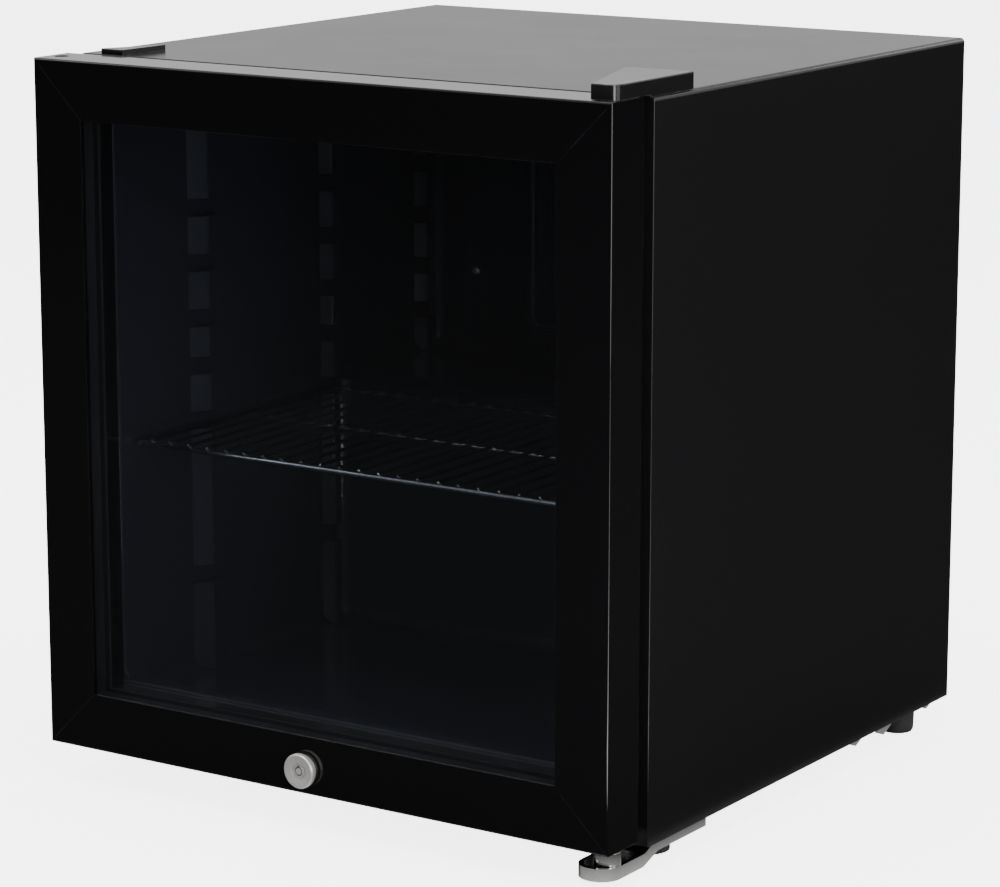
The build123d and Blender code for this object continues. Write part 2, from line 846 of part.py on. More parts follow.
with BuildPart() as lower_hinge_bracket:
    with BuildSketch(Plane.YZ.offset(half - bracket_tail_width)):
        with BuildLine():
            Polyline(
                (door_front + bracket_front, bracket_low),
                (cabinet_front - 5, bracket_low),
                (cabinet_front + 12, tail_low),
                (tail_y, tail_low),
                (tail_y, floor_gap),
                (cabinet_front + 4, floor_gap),
                (cabinet_front - 3, bracket_shelf),
                (door_front + bracket_front, bracket_shelf),
                close=True,
            )
        make_face()
        fillet(vertices().group_by(Axis.X)[1:3][0] + vertices().group_by(Axis.X)[2], 5.0)
    extrude(amount=bracket_tail_width)
    with BuildSketch(Plane.XY):
        with BuildLine():
            Polyline(
                (half, door_front + bracket_front),
                (half, tail_y),
                (half - bracket_tail_width, tail_y),
                (half - bracket_tail_width, cabinet_front + 22),
                (half - bracket_width, cabinet_front - 4),
                (half - bracket_width, door_front + bracket_front),
                close=True,
            )
        make_face()
        fillet(vertices().group_by(Axis.Y)[0], bracket_width / 2 - 0.5)
    extrude(amount=floor_gap + 5, mode=Mode.INTERSECT)
    with BuildSketch(Plane.XY.offset(bracket_shelf)):
        with Locations((half - bracket_width / 2, (door_front + cabinet_front) / 2)):
            RectangleRounded(bracket_width - 5, 38, 9)
    extrude(amount=-3, mode=Mode.SUBTRACT)
    rod((pivot_x, pivot_y, bracket_low + 2), (pivot_x, pivot_y, boss_top), boss_radius)
    boss_rim = lower_hinge_bracket.edges().filter_by(GeomType.CIRCLE)
    fillet([e for e in boss_rim if e.center().Z > boss_top - 0.1], 1.0)
    block((half, door_front - 1, 0), (half + 5, tail_y, floor_gap + 5), mode=Mode.SUBTRACT)
    rod((pivot_x, pivot_y, 0), (pivot_x, pivot_y, floor_gap + 10), pin_radius,
        mode=Mode.SUBTRACT)
    for x, y in bracket_screws:
        rod((x, y, 0), (x, y, floor_gap + 1), 2.2, mode=Mode.SUBTRACT)
    foot_x, foot_y = foot_centres[1]
    rod((foot_x, foot_y, 0), (foot_x, foot_y, floor_gap + 1), stud_radius + 1,
        mode=Mode.SUBTRACT)
save(lower_hinge_bracket, "lower_hinge_bracket")

with BuildPart() as lower_hinge_pin:
    rod((pivot_x, pivot_y, bracket_low + 0.5),
        (pivot_x, pivot_y, door_bottom + bush_length - 1), pin_radius)
    chamfer(lower_hinge_pin.edges().sort_by(Axis.Z)[-1], 0.8)
save(lower_hinge_pin, "lower_hinge_pin")

with BuildPart() as hinge_screws:
    plate_top = hinge_plate_low + plate_thick
    for x, y in top_screws:
        rod((x, y, plate_top), (x, y, plate_top + 2.0), 3.8)
        rod((x, y, cabinet_top), (x, y, plate_top), 2.0)
    for x, y in bracket_screws:
        rod((x, y, tail_low - 2.0), (x, y, tail_low), 3.8)
        rod((x, y, tail_low), (x, y, floor_gap), 2.0)
save(hinge_screws, "hinge_screws")

# ------------------------------------------------------------------ lock
strike_top = lock_z - nut_across / 2 - 1.0
strike_front = door_back + 1.4
cam_front = lock_end + 0.2
cam_back = cam_front + cam_thick

with BuildPart() as lock_body:
    with BuildSketch(Plane.YZ.offset(lock_x)):
        with BuildLine():
            Polyline(
                (door_front, lock_z + plug_radius + 1.5),
                (door_front, lock_z + lock_flange_radius - 1.6),
                (door_front - 2.2, lock_z + lock_flange_radius - 1.6),
                (door_front - 2.8, lock_z + lock_flange_radius),
                (door_front - lock_proud + 0.8, lock_z + lock_flange_radius),
                (door_front - lock_proud, lock_z + lock_flange_radius - 0.8),
                (door_front - lock_proud, lock_z + lock_flange_radius - 1.8),
                (door_front - lock_proud + 0.6, lock_z + plug_radius + 1.4),
                (door_front - lock_proud + 2.0, lock_z + plug_radius + 1.0),
                (door_front - lock_proud + 2.0, lock_z + plug_radius + plug_clear),
                (door_front, lock_z + plug_radius + plug_clear),
                close=True,
            )
        make_face()
    revolve(axis=Axis((lock_x, door_front, lock_z), (0, 1, 0)))
    rod((lock_x, door_front, lock_z), (lock_x, lock_end, lock_z), lock_body_radius)
    rod((lock_x, door_front - 10, lock_z), (lock_x, lock_end + 1, lock_z),
        plug_radius + plug_clear, mode=Mode.SUBTRACT)
save(lock_body, "lock_body")

with BuildPart() as lock_plug:
    rod((lock_x, door_front - lock_proud + 0.6, lock_z), (lock_x, lock_end, lock_z),
        plug_radius)
    with BuildSketch(at_depth(door_front - lock_proud + 0.6)):
        with Locations((lock_x, lock_z)):
            Circle(plug_radius - 0.9)
            Circle(plug_radius - 1.9, mode=Mode.SUBTRACT)
        with Locations((lock_x, lock_z + plug_radius - 1.0)):
            Rectangle(1.6, 1.6)
    extrude(amount=-6, mode=Mode.SUBTRACT)
    with BuildSketch(at_depth(lock_end)):
        with Locations((lock_x, lock_z)):
            Rectangle(tail_square, tail_square)
    extrude(amount=-(cam_back - lock_end))
    rod((lock_x, cam_back - 8, lock_z), (lock_x, cam_back, lock_z), 1.5, mode=Mode.SUBTRACT)
save(lock_plug, "lock_plug")

with BuildPart() as lock_nut:
    with BuildSketch(at_depth(door_back)):
        with Locations((lock_x, lock_z)):
            RegularPolygon(nut_across / 2, 6, major_radius=False)
            Circle(lock_body_radius, mode=Mode.SUBTRACT)
    extrude(amount=-nut_thick)
save(lock_nut, "lock_nut")

with BuildPart() as lock_cam:
    with BuildSketch(at_depth(cam_front)):
        with Locations((lock_x, lock_z)):
            Circle(cam_width / 2 + 2)
        with Locations((lock_x - cam_reach / 2, lock_z)):
            Rectangle(cam_reach, cam_width)
        with Locations((lock_x, lock_z)):
            Rectangle(tail_square, tail_square, mode=Mode.SUBTRACT)
        fillet(vertices().sort_by(Axis.X)[:2], 2.0)
    extrude(amount=-cam_thick)
save(lock_cam, "lock_cam")

with BuildPart() as cam_screw:
    rod((lock_x, cam_back, lock_z), (lock_x, cam_back + 2.2, lock_z), 4.2)
    chamfer(cam_screw.edges().sort_by(Axis.Y)[-1], 0.6)
    rod((lock_x, cam_back - 7, lock_z), (lock_x, cam_back, lock_z), 1.5)
save(cam_screw, "cam_screw")

strike_half = 10.0
strike_back = cabinet_front + 34.0
strike_screws = [(lock_x + side * 6, strike_back - 10) for side in (-1, 1)]

with BuildPart() as lock_strike:
    block((lock_x - strike_half, strike_front, floor_gap - 1.5),
          (lock_x + strike_half, strike_back, floor_gap + sheet))
    block((lock_x - strike_half - 1, cabinet_front - 0.2, floor_gap),
          (lock_x + strike_half + 1, strike_back + 1, floor_gap + sheet + 1),
          mode=Mode.SUBTRACT)
    block((lock_x - strike_half, strike_front, floor_gap),
          (lock_x + strike_half, strike_front + 1.5, strike_top))
    for x, y in strike_screws:
        rod((x, y, 0), (x, y, floor_gap + 2), 1.7, mode=Mode.SUBTRACT)
save(lock_strike, "lock_strike")

with BuildPart() as strike_screws_set:
    for x, y in strike_screws:
        rod((x, y, floor_gap - 3.1), (x, y, floor_gap - 1.5), 3.0)
        rod((x, y, floor_gap - 1.5), (x, y, floor_gap), 1.5)
save(strike_screws_set, "strike_screws")

# ------------------------------------------------------------------ feet
for name, (x, y) in zip(("front_foot_left", "front_foot_right"), foot_centres):
    with BuildPart() as foot:
        rod((x, y, 0), (x, y, foot_thick), foot_radius)
        fillet(foot.edges().sort_by(Axis.Z)[-1], 2.0)
        chamfer(foot.edges().sort_by(Axis.Z)[0], 0.8)
        rod((x, y, foot_thick), (x, y, floor_gap + 14), stud_radius)
    save(foot, name)

with BuildPart() as foot_nuts:
    for x, y in foot_centres:
        with BuildSketch(Plane.XY.offset(floor_gap + 2 * sheet)):
            with Locations((x, y)):
                RegularPolygon(6.5, 6, major_radius=False)
                Circle(stud_radius + stud_clear, mode=Mode.SUBTRACT)
        extrude(amount=8)
save(foot_nuts, "foot_nuts")

base_half = half - base_inset
base_y = (machine_front - base_lead, cabinet_back - 2.0)
base_low = floor_gap - base_thick
rear_feet_at = [(side * (half - rear_foot_side), cabinet_back - rear_foot_back)
                for side in (-1, 1)]
gland_x = -150.0
gland_z = floor_gap + 18.0
gland_radius = 7.0
gland_bore = 4.0
base_tabs = ((0.10, 0.24, 9.0), (0.38, 0.54, 11.0), (0.85, 0.98, 8.0))

with BuildPart() as base_plate:
    block((-base_half, base_y[0], base_low), (base_half, base_y[1], floor_gap))
    length = base_y[1] - base_y[0]
    for side in (-1, 1):
        for start, stop, drop in base_tabs:
            y0 = base_y[0] + start * length
            y1 = base_y[0] + stop * length
            with BuildSketch(Plane.YZ.offset(side * (base_half - base_thick / 2))):
                with BuildLine():
                    Polyline(
                        (y0, floor_gap),
                        (y1, floor_gap),
                        (y1, floor_gap - drop * 0.55),
                        ((y0 + y1) / 2, floor_gap - drop),
                        (y0 + 2, floor_gap - drop * 0.7),
                        close=True,
                    )
                make_face()
            extrude(amount=base_thick / 2, both=True)
    block((gland_x - 20, base_y[1] - base_thick, floor_gap),
          (gland_x + 20, base_y[1], floor_gap + 34))
    rod((gland_x, cabinet_back - 20, gland_z), (gland_x, cabinet_back + 5, gland_z),
        gland_radius, mode=Mode.SUBTRACT)
    for x, y in rear_feet_at:
        rod((x, y, base_low - 1), (x, y, floor_gap + 1), 3.0, mode=Mode.SUBTRACT)
save(base_plate, "base_plate")

with BuildPart() as rear_feet:
    for x, y in rear_feet_at:
        with BuildSketch(Plane.XZ.offset(-y)):
            with BuildLine():
                Polyline(
                    (x, 0),
                    (x + rear_foot_radius - 1.5, 0),
                    (x + rear_foot_radius - 0.5, 2),
                    (x + rear_foot_radius, base_low),
                    (x, base_low),
                    close=True,
                )
            make_face()
        revolve(axis=Axis((x, y, 0), (0, 0, 1)))
        rod((x, y, base_low), (x, y, floor_gap), 2.95)
        rod((x, y, floor_gap), (x, y, floor_gap + 2.5), 5.0)
save(rear_feet, "rear_feet")

with BuildPart() as cord_gland:
    gland_front = base_y[1] - base_thick
    rod((gland_x, gland_front - 4, gland_z), (gland_x, gland_front, gland_z), gland_radius + 2)
    rod((gland_x, gland_front, gland_z), (gland_x, base_y[1], gland_z), gland_radius)
    rod((gland_x, base_y[1], gland_z), (gland_x, cabinet_back, gland_z), gland_radius + 2)
    rod((gland_x, gland_front - 10, gland_z), (gland_x, cabinet_back + 5, gland_z), gland_bore,
        mode=Mode.SUBTRACT)
save(cord_gland, "cord_gland")

# ------------------------------------------------------------------ compressor
machine_mid = (machine_front + cabinet_back) / 2
shell_low = floor_gap + grommet_height + 6
shell_high = shell_low + compressor_height
shell_mid = shell_low + compressor_height * 0.52
mount_x = 62.0
mount_y = 32.0
grommet_spots = [(compressor_x + sx * mount_x, machine_mid + sy * mount_y)
                 for sx in (-1, 1) for sy in (-1, 1)]
foot_plate_low = floor_gap + grommet_height
foot_plate_thick = 3.0
outlet_z = shell_mid + 16.0
discharge_z = shell_mid - 12.0
suction_stub_end = compressor_x + compressor_radius + 14

with BuildPart() as compressor:
    with BuildSketch(Plane.XZ.offset(-machine_mid)):
        with BuildLine():
            dome = 26.0
            crown = compressor_radius * 0.55
            Polyline((compressor_x, shell_high), (compressor_x, shell_low),
                     (compressor_x + crown, shell_low))
            SagittaArc((compressor_x + crown, shell_low),
                       (compressor_x + compressor_radius, shell_low + dome), -7)
            Polyline((compressor_x + compressor_radius, shell_low + dome),
                     (compressor_x + compressor_radius, shell_mid - 2),
                     (compressor_x + compressor_radius + 4, shell_mid - 2),
                     (compressor_x + compressor_radius + 4, shell_mid + 2),
                     (compressor_x + compressor_radius, shell_mid + 2),
                     (compressor_x + compressor_radius, shell_high - dome))
            SagittaArc((compressor_x + compressor_radius, shell_high - dome),
                       (compressor_x + crown, shell_high), -7)
            Line((compressor_x + crown, shell_high), (compressor_x, shell_high))
        make_face()
    revolve(axis=Axis((compressor_x, machine_mid, 0), (0, 0, 1)))
    with BuildSketch(Plane.XY.offset(foot_plate_low)):
        with Locations((compressor_x, machine_mid)):
            RectangleRounded(2 * mount_x + 26, 2 * mount_y + 26, 12)
    extrude(amount=foot_plate_thick)
    rod((compressor_x, machine_mid, foot_plate_low), (compressor_x, machine_mid, shell_low),
        30)
    for x, y in grommet_spots:
        rod((x, y, foot_plate_low - 1), (x, y, foot_plate_low + 5), 6.0, mode=Mode.SUBTRACT)
    for y_step, z in ((-14, discharge_z), (14, outlet_z)):
        rod((compressor_x + 30, machine_mid + y_step, z),
            (suction_stub_end, machine_mid + y_step, z), pipe_radius + 1)
save(compressor, "compressor")

with BuildPart() as compressor_grommets:
    for x, y in grommet_spots:
        rod((x, y, floor_gap), (x, y, foot_plate_low), 10.0)
        rod((x, y, foot_plate_low), (x, y, foot_plate_low + foot_plate_thick), 5.8)
        rod((x, y, foot_plate_low + foot_plate_thick),
            (x, y, foot_plate_low + foot_plate_thick + 3), 8.5)
        rod((x, y, floor_gap - 1), (x, y, foot_plate_low + 10), 3.2, mode=Mode.SUBTRACT)
save(compressor_grommets, "compressor_grommets")

with BuildPart() as compressor_bolts:
    for x, y in grommet_spots:
        cap = foot_plate_low + foot_plate_thick + 3
        rod((x, y, floor_gap), (x, y, cap), 3.0)
        with BuildSketch(Plane.XY.offset(cap)):
            with Locations((x, y)):
                RegularPolygon(5.0, 6, major_radius=False)
        extrude(amount=4)
save(compressor_bolts, "compressor_bolts")

with BuildPart() as relay_cover:
    relay_x = compressor_x - compressor_radius - 4 - 28
    block((relay_x, machine_mid - 26, shell_mid - 24),
          (relay_x + 28, machine_mid + 26, shell_mid + 26))
    fillet(relay_cover.edges().filter_by(Axis.X), 4.0)
    fillet(relay_cover.faces().sort_by(Axis.X)[0].edges(), 3.0)
save(relay_cover, "relay_cover")

tray_low = shell_high
with BuildPart() as evaporation_tray:
    block((compressor_x - 62, machine_mid - 42, tray_low),
          (compressor_x + 62, machine_mid + 42, tray_low + 20))
    fillet(evaporation_tray.edges().filter_by(Axis.Z), 8.0)
    fillet(evaporation_tray.faces().sort_by(Axis.Z)[0].edges(), 3.0)
    block((compressor_x - 60.4, machine_mid - 40.4, tray_low + 1.6),
          (compressor_x + 60.4, machine_mid + 40.4, tray_low + 25), mode=Mode.SUBTRACT)
save(evaporation_tray, "evaporation_tray")

drain_end = tray_low + 12
with BuildPart() as drain_tube:
    rod((0, drain_y, drain_end), (0, drain_y, hump_top - liner_wall), drain_radius)
    rod((0, drain_y, drain_end - 1), (0, drain_y, hump_top), drain_radius - 1,
        mode=Mode.SUBTRACT)
save(drain_tube, "drain_tube")

# ------------------------------------------------------------------ condenser and pipes
coil_half = half - 34.0
coil_low = machine_roof + coil_footroom
coil_pitch = (cabinet_top - coil_headroom - coil_low) / (coil_runs - 1)
coil_y = cabinet_back - 3.0 - coil_radius
coil_bend = coil_pitch / 2
grid_y = coil_y - coil_radius - grid_radius


def coil_points():
    """The condenser's tube: level runs joined at alternate ends."""
    points = []
    for i in range(coil_runs):
        z = coil_low + i * coil_pitch
        ends = [(-coil_half, coil_y, z), (coil_half, coil_y, z)]
        points += ends if i % 2 == 0 else ends[::-1]
    return points


with BuildPart() as condenser_coil:
    add(pipe(coil_points(), coil_bend - 0.05, coil_radius))
save(condenser_coil, "condenser_coil")

grid_low = coil_low - 10
grid_high = coil_low + (coil_runs - 1) * coil_pitch + 10
grid_half = coil_half - coil_bend - 3
grid_count = int(2 * grid_half / grid_pitch) + 1

with BuildPart() as condenser_grid:
    for i in range(grid_count):
        x = (i - (grid_count - 1) / 2) * grid_pitch
        rod((x, grid_y, grid_low), (x, grid_y, grid_high), grid_radius)
    for z in (grid_low + 2, grid_high - 2):
        rod((-grid_half - 4, grid_y - grid_radius * 1.4, z),
            (grid_half + 4, grid_y - grid_radius * 1.4, z), grid_radius * 0.95)
save(condenser_grid, "condenser_grid")

with BuildPart() as condenser_clips:
    for side in (-1, 1):
        for z in (coil_low + coil_pitch / 2, grid_high - 10 - coil_pitch / 2):
            x = side * (coil_half - coil_bend)
            block((x - 7, rear_plane + sheet, z - 5), (x + 7, coil_y - coil_radius - 2.0, z + 5))
save(condenser_clips, "condenser_clips")

drier_x = -coil_half - 9.0
drier_y = coil_y - 12.0
drier_low = machine_roof - 120.0
drier_high = machine_roof - 40.0
drier_radius = 8.0
riser_x = -coil_half - 18.0
coil_high = coil_low + (coil_runs - 1) * coil_pitch
cap_radius = 1.2
suction_line = (
    (suction_stub_end, machine_mid + 14, outlet_z),
    (suction_x, machine_mid + 14, outlet_z),
    (suction_x, suction_y, outlet_z),
    *suction_route[1:],
)
discharge_line = (
    (suction_stub_end, machine_mid - 14, discharge_z),
    (suction_stub_end + 30, machine_mid - 14, discharge_z),
    (suction_stub_end + 30, coil_y, discharge_z),
    (riser_x, coil_y, discharge_z),
    (riser_x, coil_y, coil_high),
    (-coil_half, coil_y, coil_high),
)
drier_line = (
    (-coil_half, coil_y, coil_low),
    (drier_x, coil_y, coil_low),
    (drier_x, coil_y, machine_roof - 2),
    (drier_x, drier_y, machine_roof - 17),
    (drier_x, drier_y, drier_high),
)
capillary_line = (
    (drier_x, drier_y, drier_low),
    (drier_x, drier_y, drier_low - 16),
    (drier_x, coil_y, drier_low - 16),
    (suction_x - 60, coil_y, drier_low - 16),
    (suction_x - 6, suction_y, drier_low - 16),
    (suction_x - 6, suction_y, machine_roof),
)

with BuildPart() as suction_pipe:
    add(pipe(suction_line, (15.0, 15.0, 9.0), pipe_radius))
save(suction_pipe, "suction_pipe")

with BuildPart() as discharge_pipe:
    add(pipe(discharge_line, (12.0, 12.0, 12.0, 9.0), coil_radius))
    add(pipe(drier_line, (6.0, 8.0, 8.0), coil_radius))
save(discharge_pipe, "discharge_pipe")

with BuildPart() as capillary_tube:
    add(pipe(capillary_line, (5.0, 5.0, 20.0, 10.0), cap_radius))
save(capillary_tube, "capillary_tube")

with BuildPart() as filter_drier:
    rod((drier_x, drier_y, drier_low), (drier_x, drier_y, drier_high), drier_radius)
    ends = filter_drier.edges().filter_by(GeomType.CIRCLE)
    chamfer(ends, 5.0)
save(filter_drier, "filter_drier")
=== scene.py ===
"""Looks of a glass-door mini fridge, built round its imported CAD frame.

The CAD nodes carry the shapes and sizes. This script dresses every node, and adds finer
pieces where the plain solid is too coarse: the shelf, the roll-bond plate, the screws, the
gasket, the front feet, the lamp's lens and the marks round the dial.
"""

import json
import logging
import math
from dataclasses import dataclass, field
from enum import Enum
from functools import cache

import bmesh  # noqa: E402
import bpy  # noqa: E402
from mathutils import Matrix, Vector  # noqa: E402

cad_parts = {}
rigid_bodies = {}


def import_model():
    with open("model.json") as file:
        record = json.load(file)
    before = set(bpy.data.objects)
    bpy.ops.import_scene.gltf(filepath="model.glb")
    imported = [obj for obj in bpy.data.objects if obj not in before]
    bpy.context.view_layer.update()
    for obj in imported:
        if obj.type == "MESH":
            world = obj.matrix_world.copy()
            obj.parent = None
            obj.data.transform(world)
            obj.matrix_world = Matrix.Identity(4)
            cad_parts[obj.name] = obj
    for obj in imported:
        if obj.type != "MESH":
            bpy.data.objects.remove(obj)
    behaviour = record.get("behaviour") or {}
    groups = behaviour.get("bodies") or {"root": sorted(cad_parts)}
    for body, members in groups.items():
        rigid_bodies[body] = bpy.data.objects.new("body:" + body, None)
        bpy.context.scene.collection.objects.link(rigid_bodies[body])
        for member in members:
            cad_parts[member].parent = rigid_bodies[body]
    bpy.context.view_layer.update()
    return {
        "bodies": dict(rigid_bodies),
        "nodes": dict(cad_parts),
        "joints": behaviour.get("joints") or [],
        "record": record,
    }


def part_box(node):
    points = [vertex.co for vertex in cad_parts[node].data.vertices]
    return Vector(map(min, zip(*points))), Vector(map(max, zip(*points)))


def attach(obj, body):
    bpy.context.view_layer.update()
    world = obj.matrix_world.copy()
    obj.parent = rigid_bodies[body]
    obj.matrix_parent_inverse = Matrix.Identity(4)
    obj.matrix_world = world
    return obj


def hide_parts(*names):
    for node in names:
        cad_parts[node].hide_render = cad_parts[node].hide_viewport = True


LOG = logging.getLogger("mini_fridge")
MM = 0.001
DUST_COLOUR = (0.42, 0.41, 0.39)


class Side(Enum):
    """The two sides of the fridge, seen from the front."""

    LEFT = -1
    RIGHT = 1


class Recess(Enum):
    """The drive pressed into a screw head."""

    CROSS = 2
    HEX = 3


class Surface(Enum):
    """The family a finish belongs to, which picks how it is put together."""

    PAINT = "paint"
    MOULDING = "moulding"
    METAL = "metal"
    RUBBER = "rubber"


# ------------------------------------------------------------------ shader groups
@dataclass(frozen=True)
class GroupKit:
    """Builds the node groups that several finishes share, once each."""

    relief_name: str = "surface_relief"
    wear_name: str = "edge_wear"
    dust_name: str = "settled_dust"
    brush_name: str = "brushed_grain"
    smudge_scale: float = 14.0
    wear_gain: float = 6.0
    wear_scale: float = 160.0
    wear_level: float = 0.46
    fleck_scale: float = 900.0
    drift_scale: float = 9.0
    dust_gain: float = 3.0

    def start(
        self, name: str, inputs: dict[str, float], outputs: list[str]
    ) -> tuple[bpy.types.NodeTree, bpy.types.Node, bpy.types.Node]:
        """Start a group with its named sockets.

        Args:
            name: The group's name.
            inputs: Each float input's name and default.
            outputs: The names of the float outputs.

        Returns:
            The group, its input node and its output node.
        """
        tree = bpy.data.node_groups.new(name, "ShaderNodeTree")
        for key, value in inputs.items():
            socket = tree.interface.new_socket(key, in_out="INPUT", socket_type="NodeSocketFloat")
            socket.default_value = value
        for key in outputs:
            tree.interface.new_socket(key, in_out="OUTPUT", socket_type="NodeSocketFloat")
        return tree, tree.nodes.new("NodeGroupInput"), tree.nodes.new("NodeGroupOutput")

    def math(
        self, tree: bpy.types.NodeTree, operation: str, first: object, second: object = 0.0
    ) -> bpy.types.NodeSocket:
        """Add a Math node.

        Args:
            tree: The tree to add it to.
            operation: The node's operation.
            first: A socket or a number.
            second: A socket or a number.

        Returns:
            The result's socket.
        """
        node = tree.nodes.new("ShaderNodeMath")
        node.operation = operation
        for slot, value in enumerate((first, second)):
            if isinstance(value, bpy.types.NodeSocket):
                tree.links.new(value, node.inputs[slot])
            else:
                node.inputs[slot].default_value = value
        return node.outputs[0]

    def noise(
        self,
        tree: bpy.types.NodeTree,
        vector: bpy.types.NodeSocket,
        scale: object,
        detail: float = 3.0,
    ) -> bpy.types.NodeSocket:
        """Add a Noise Texture.

        Args:
            tree: The tree to add it to.
            vector: Where it reads its place.
            scale: A socket or a number.
            detail: How many octaves it has.

        Returns:
            The noise's factor socket.
        """
        node = tree.nodes.new("ShaderNodeTexNoise")
        node.inputs["Detail"].default_value = detail
        tree.links.new(vector, node.inputs["Vector"])
        if isinstance(scale, bpy.types.NodeSocket):
            tree.links.new(scale, node.inputs["Scale"])
        else:
            node.inputs["Scale"].default_value = scale
        return node.outputs["Fac"]

    def here(self, tree: bpy.types.NodeTree) -> bpy.types.NodeSocket:
        """The Object coordinates of a tree."""
        return tree.nodes.new("ShaderNodeTexCoord").outputs["Object"]

    def use(
        self, tree: bpy.types.NodeTree, source: bpy.types.NodeTree, **values: float
    ) -> bpy.types.Node:
        """Place a shared group.

        Args:
            tree: The material's tree.
            source: The group.
            values: Values for its inputs, with underscores for spaces.

        Returns:
            The group's node.
        """
        node = tree.nodes.new("ShaderNodeGroup")
        node.node_tree = source
        for key, value in values.items():
            node.inputs[key.replace("_", " ")].default_value = value
        return node

    def blend(
        self, tree: bpy.types.NodeTree, mask: bpy.types.NodeSocket, under: object, over: object
    ) -> bpy.types.NodeSocket:
        """Mix two colours by a mask.

        Args:
            tree: The material's tree.
            mask: How much of the second colour shows.
            under: A colour or a socket.
            over: A colour or a socket.

        Returns:
            The mixed colour's socket.
        """
        node = tree.nodes.new("ShaderNodeMix")
        node.data_type = "RGBA"
        tree.links.new(mask, node.inputs["Factor"])
        for key, value in ((6, under), (7, over)):
            if isinstance(value, bpy.types.NodeSocket):
                tree.links.new(value, node.inputs[key])
            else:
                node.inputs[key].default_value = (*value, 1.0)
        return node.outputs[2]

    def choose(
        self, tree: bpy.types.NodeTree, mask: bpy.types.NodeSocket, *shaders: bpy.types.Node
    ) -> None:
        """Show the first of two shaders, or the second where a mask is one.

        Args:
            tree: The material's tree.
            mask: Where the second shader shows.
            shaders: The two shaders.
        """
        node = tree.nodes.new("ShaderNodeMixShader")
        tree.links.new(mask, node.inputs[0])
        for key, shader in enumerate(shaders, 1):
            tree.links.new(shader.outputs[0], node.inputs[key])
        tree.links.new(node.outputs[0], tree.nodes["Material Output"].inputs["Surface"])

    @cache
    def relief(self) -> bpy.types.NodeTree:
        """Fine grain and a slow waviness, as heights, and a mottle for colour."""
        tree, given, result = self.start(
            self.relief_name,
            {"Grain Scale": 1200.0, "Wave Scale": 30.0, "Grain Share": 0.5},
            ["Height", "Mottle", "Smudge"],
        )
        place = self.here(tree)
        grain = self.noise(tree, place, given.outputs["Grain Scale"], 2.0)
        wave = self.noise(tree, place, given.outputs["Wave Scale"], 2.0)
        kept = self.math(tree, "MULTIPLY", grain, given.outputs["Grain Share"])
        rest = self.math(tree, "SUBTRACT", 1.0, given.outputs["Grain Share"])
        tree.links.new(
            self.math(tree, "ADD", kept, self.math(tree, "MULTIPLY", wave, rest)),
            result.inputs["Height"],
        )
        tree.links.new(grain, result.inputs["Mottle"])
        tree.links.new(self.noise(tree, place, self.smudge_scale, 6.0), result.inputs["Smudge"])
        return tree

    @cache
    def wear(self) -> bpy.types.NodeTree:
        """A mask along the edges, where a finish is rubbed thin."""
        tree, given, result = self.start(
            self.wear_name, {"Reach": 0.0006, "Amount": 0.6}, ["Mask"]
        )
        rounded = tree.nodes.new("ShaderNodeBevel")
        rounded.samples = 4
        tree.links.new(given.outputs["Reach"], rounded.inputs["Radius"])
        true = tree.nodes.new("ShaderNodeNewGeometry").outputs["Normal"]
        dot = tree.nodes.new("ShaderNodeVectorMath")
        dot.operation = "DOT_PRODUCT"
        tree.links.new(rounded.outputs["Normal"], dot.inputs[0])
        tree.links.new(true, dot.inputs[1])
        turn = self.math(tree, "SUBTRACT", 1.0, dot.outputs["Value"])
        turn = self.math(tree, "MULTIPLY", turn, self.wear_gain)
        place = self.here(tree)
        broken = self.math(
            tree, "GREATER_THAN", self.noise(tree, place, self.wear_scale, 5.0), self.wear_level
        )
        mask = self.math(tree, "MULTIPLY", turn, broken)
        mask = self.math(tree, "MULTIPLY", mask, given.outputs["Amount"])
        tree.links.new(self.math(tree, "MINIMUM", mask, 1.0), result.inputs["Mask"])
        return tree

    @cache
    def dust(self) -> bpy.types.NodeTree:
        """A mask of fine dust that lies on surfaces that face up."""
        tree, given, result = self.start(self.dust_name, {"Amount": 0.1}, ["Mask"])
        split = tree.nodes.new("ShaderNodeSeparateXYZ")
        tree.links.new(tree.nodes.new("ShaderNodeNewGeometry").outputs["Normal"], split.inputs[0])
        up = self.math(tree, "POWER", self.math(tree, "MAXIMUM", split.outputs["Z"], 0.0), 3.0)
        place = self.here(tree)
        fleck = self.noise(tree, place, self.fleck_scale, 4.0)
        drift = self.noise(tree, place, self.drift_scale, 3.0)
        both = self.math(tree, "MULTIPLY", fleck, drift)
        mask = self.math(tree, "MULTIPLY", self.math(tree, "MULTIPLY", both, up), self.dust_gain)
        tree.links.new(
            self.math(tree, "MULTIPLY", mask, given.outputs["Amount"]), result.inputs["Mask"]
        )
        return tree

    @cache
    def brush(self) -> bpy.types.NodeTree:
        """Fine lines drawn out along one direction, as rolled or turned metal has."""
        tree, given, result = self.start(
            self.brush_name, {"Across": 1500.0, "Along": 25.0}, ["Line"]
        )
        place = self.here(tree)
        pull = tree.nodes.new("ShaderNodeCombineXYZ")
        tree.links.new(given.outputs["Along"], pull.inputs["X"])
        tree.links.new(given.outputs["Across"], pull.inputs["Y"])
        tree.links.new(given.outputs["Across"], pull.inputs["Z"])
        drawn = tree.nodes.new("ShaderNodeVectorMath")
        drawn.operation = "MULTIPLY"
        tree.links.new(place, drawn.inputs[0])
        tree.links.new(pull.outputs[0], drawn.inputs[1])
        tree.links.new(self.noise(tree, drawn.outputs[0], 1.0, 3.0), result.inputs["Line"])
        return tree


GROUPS = GroupKit()


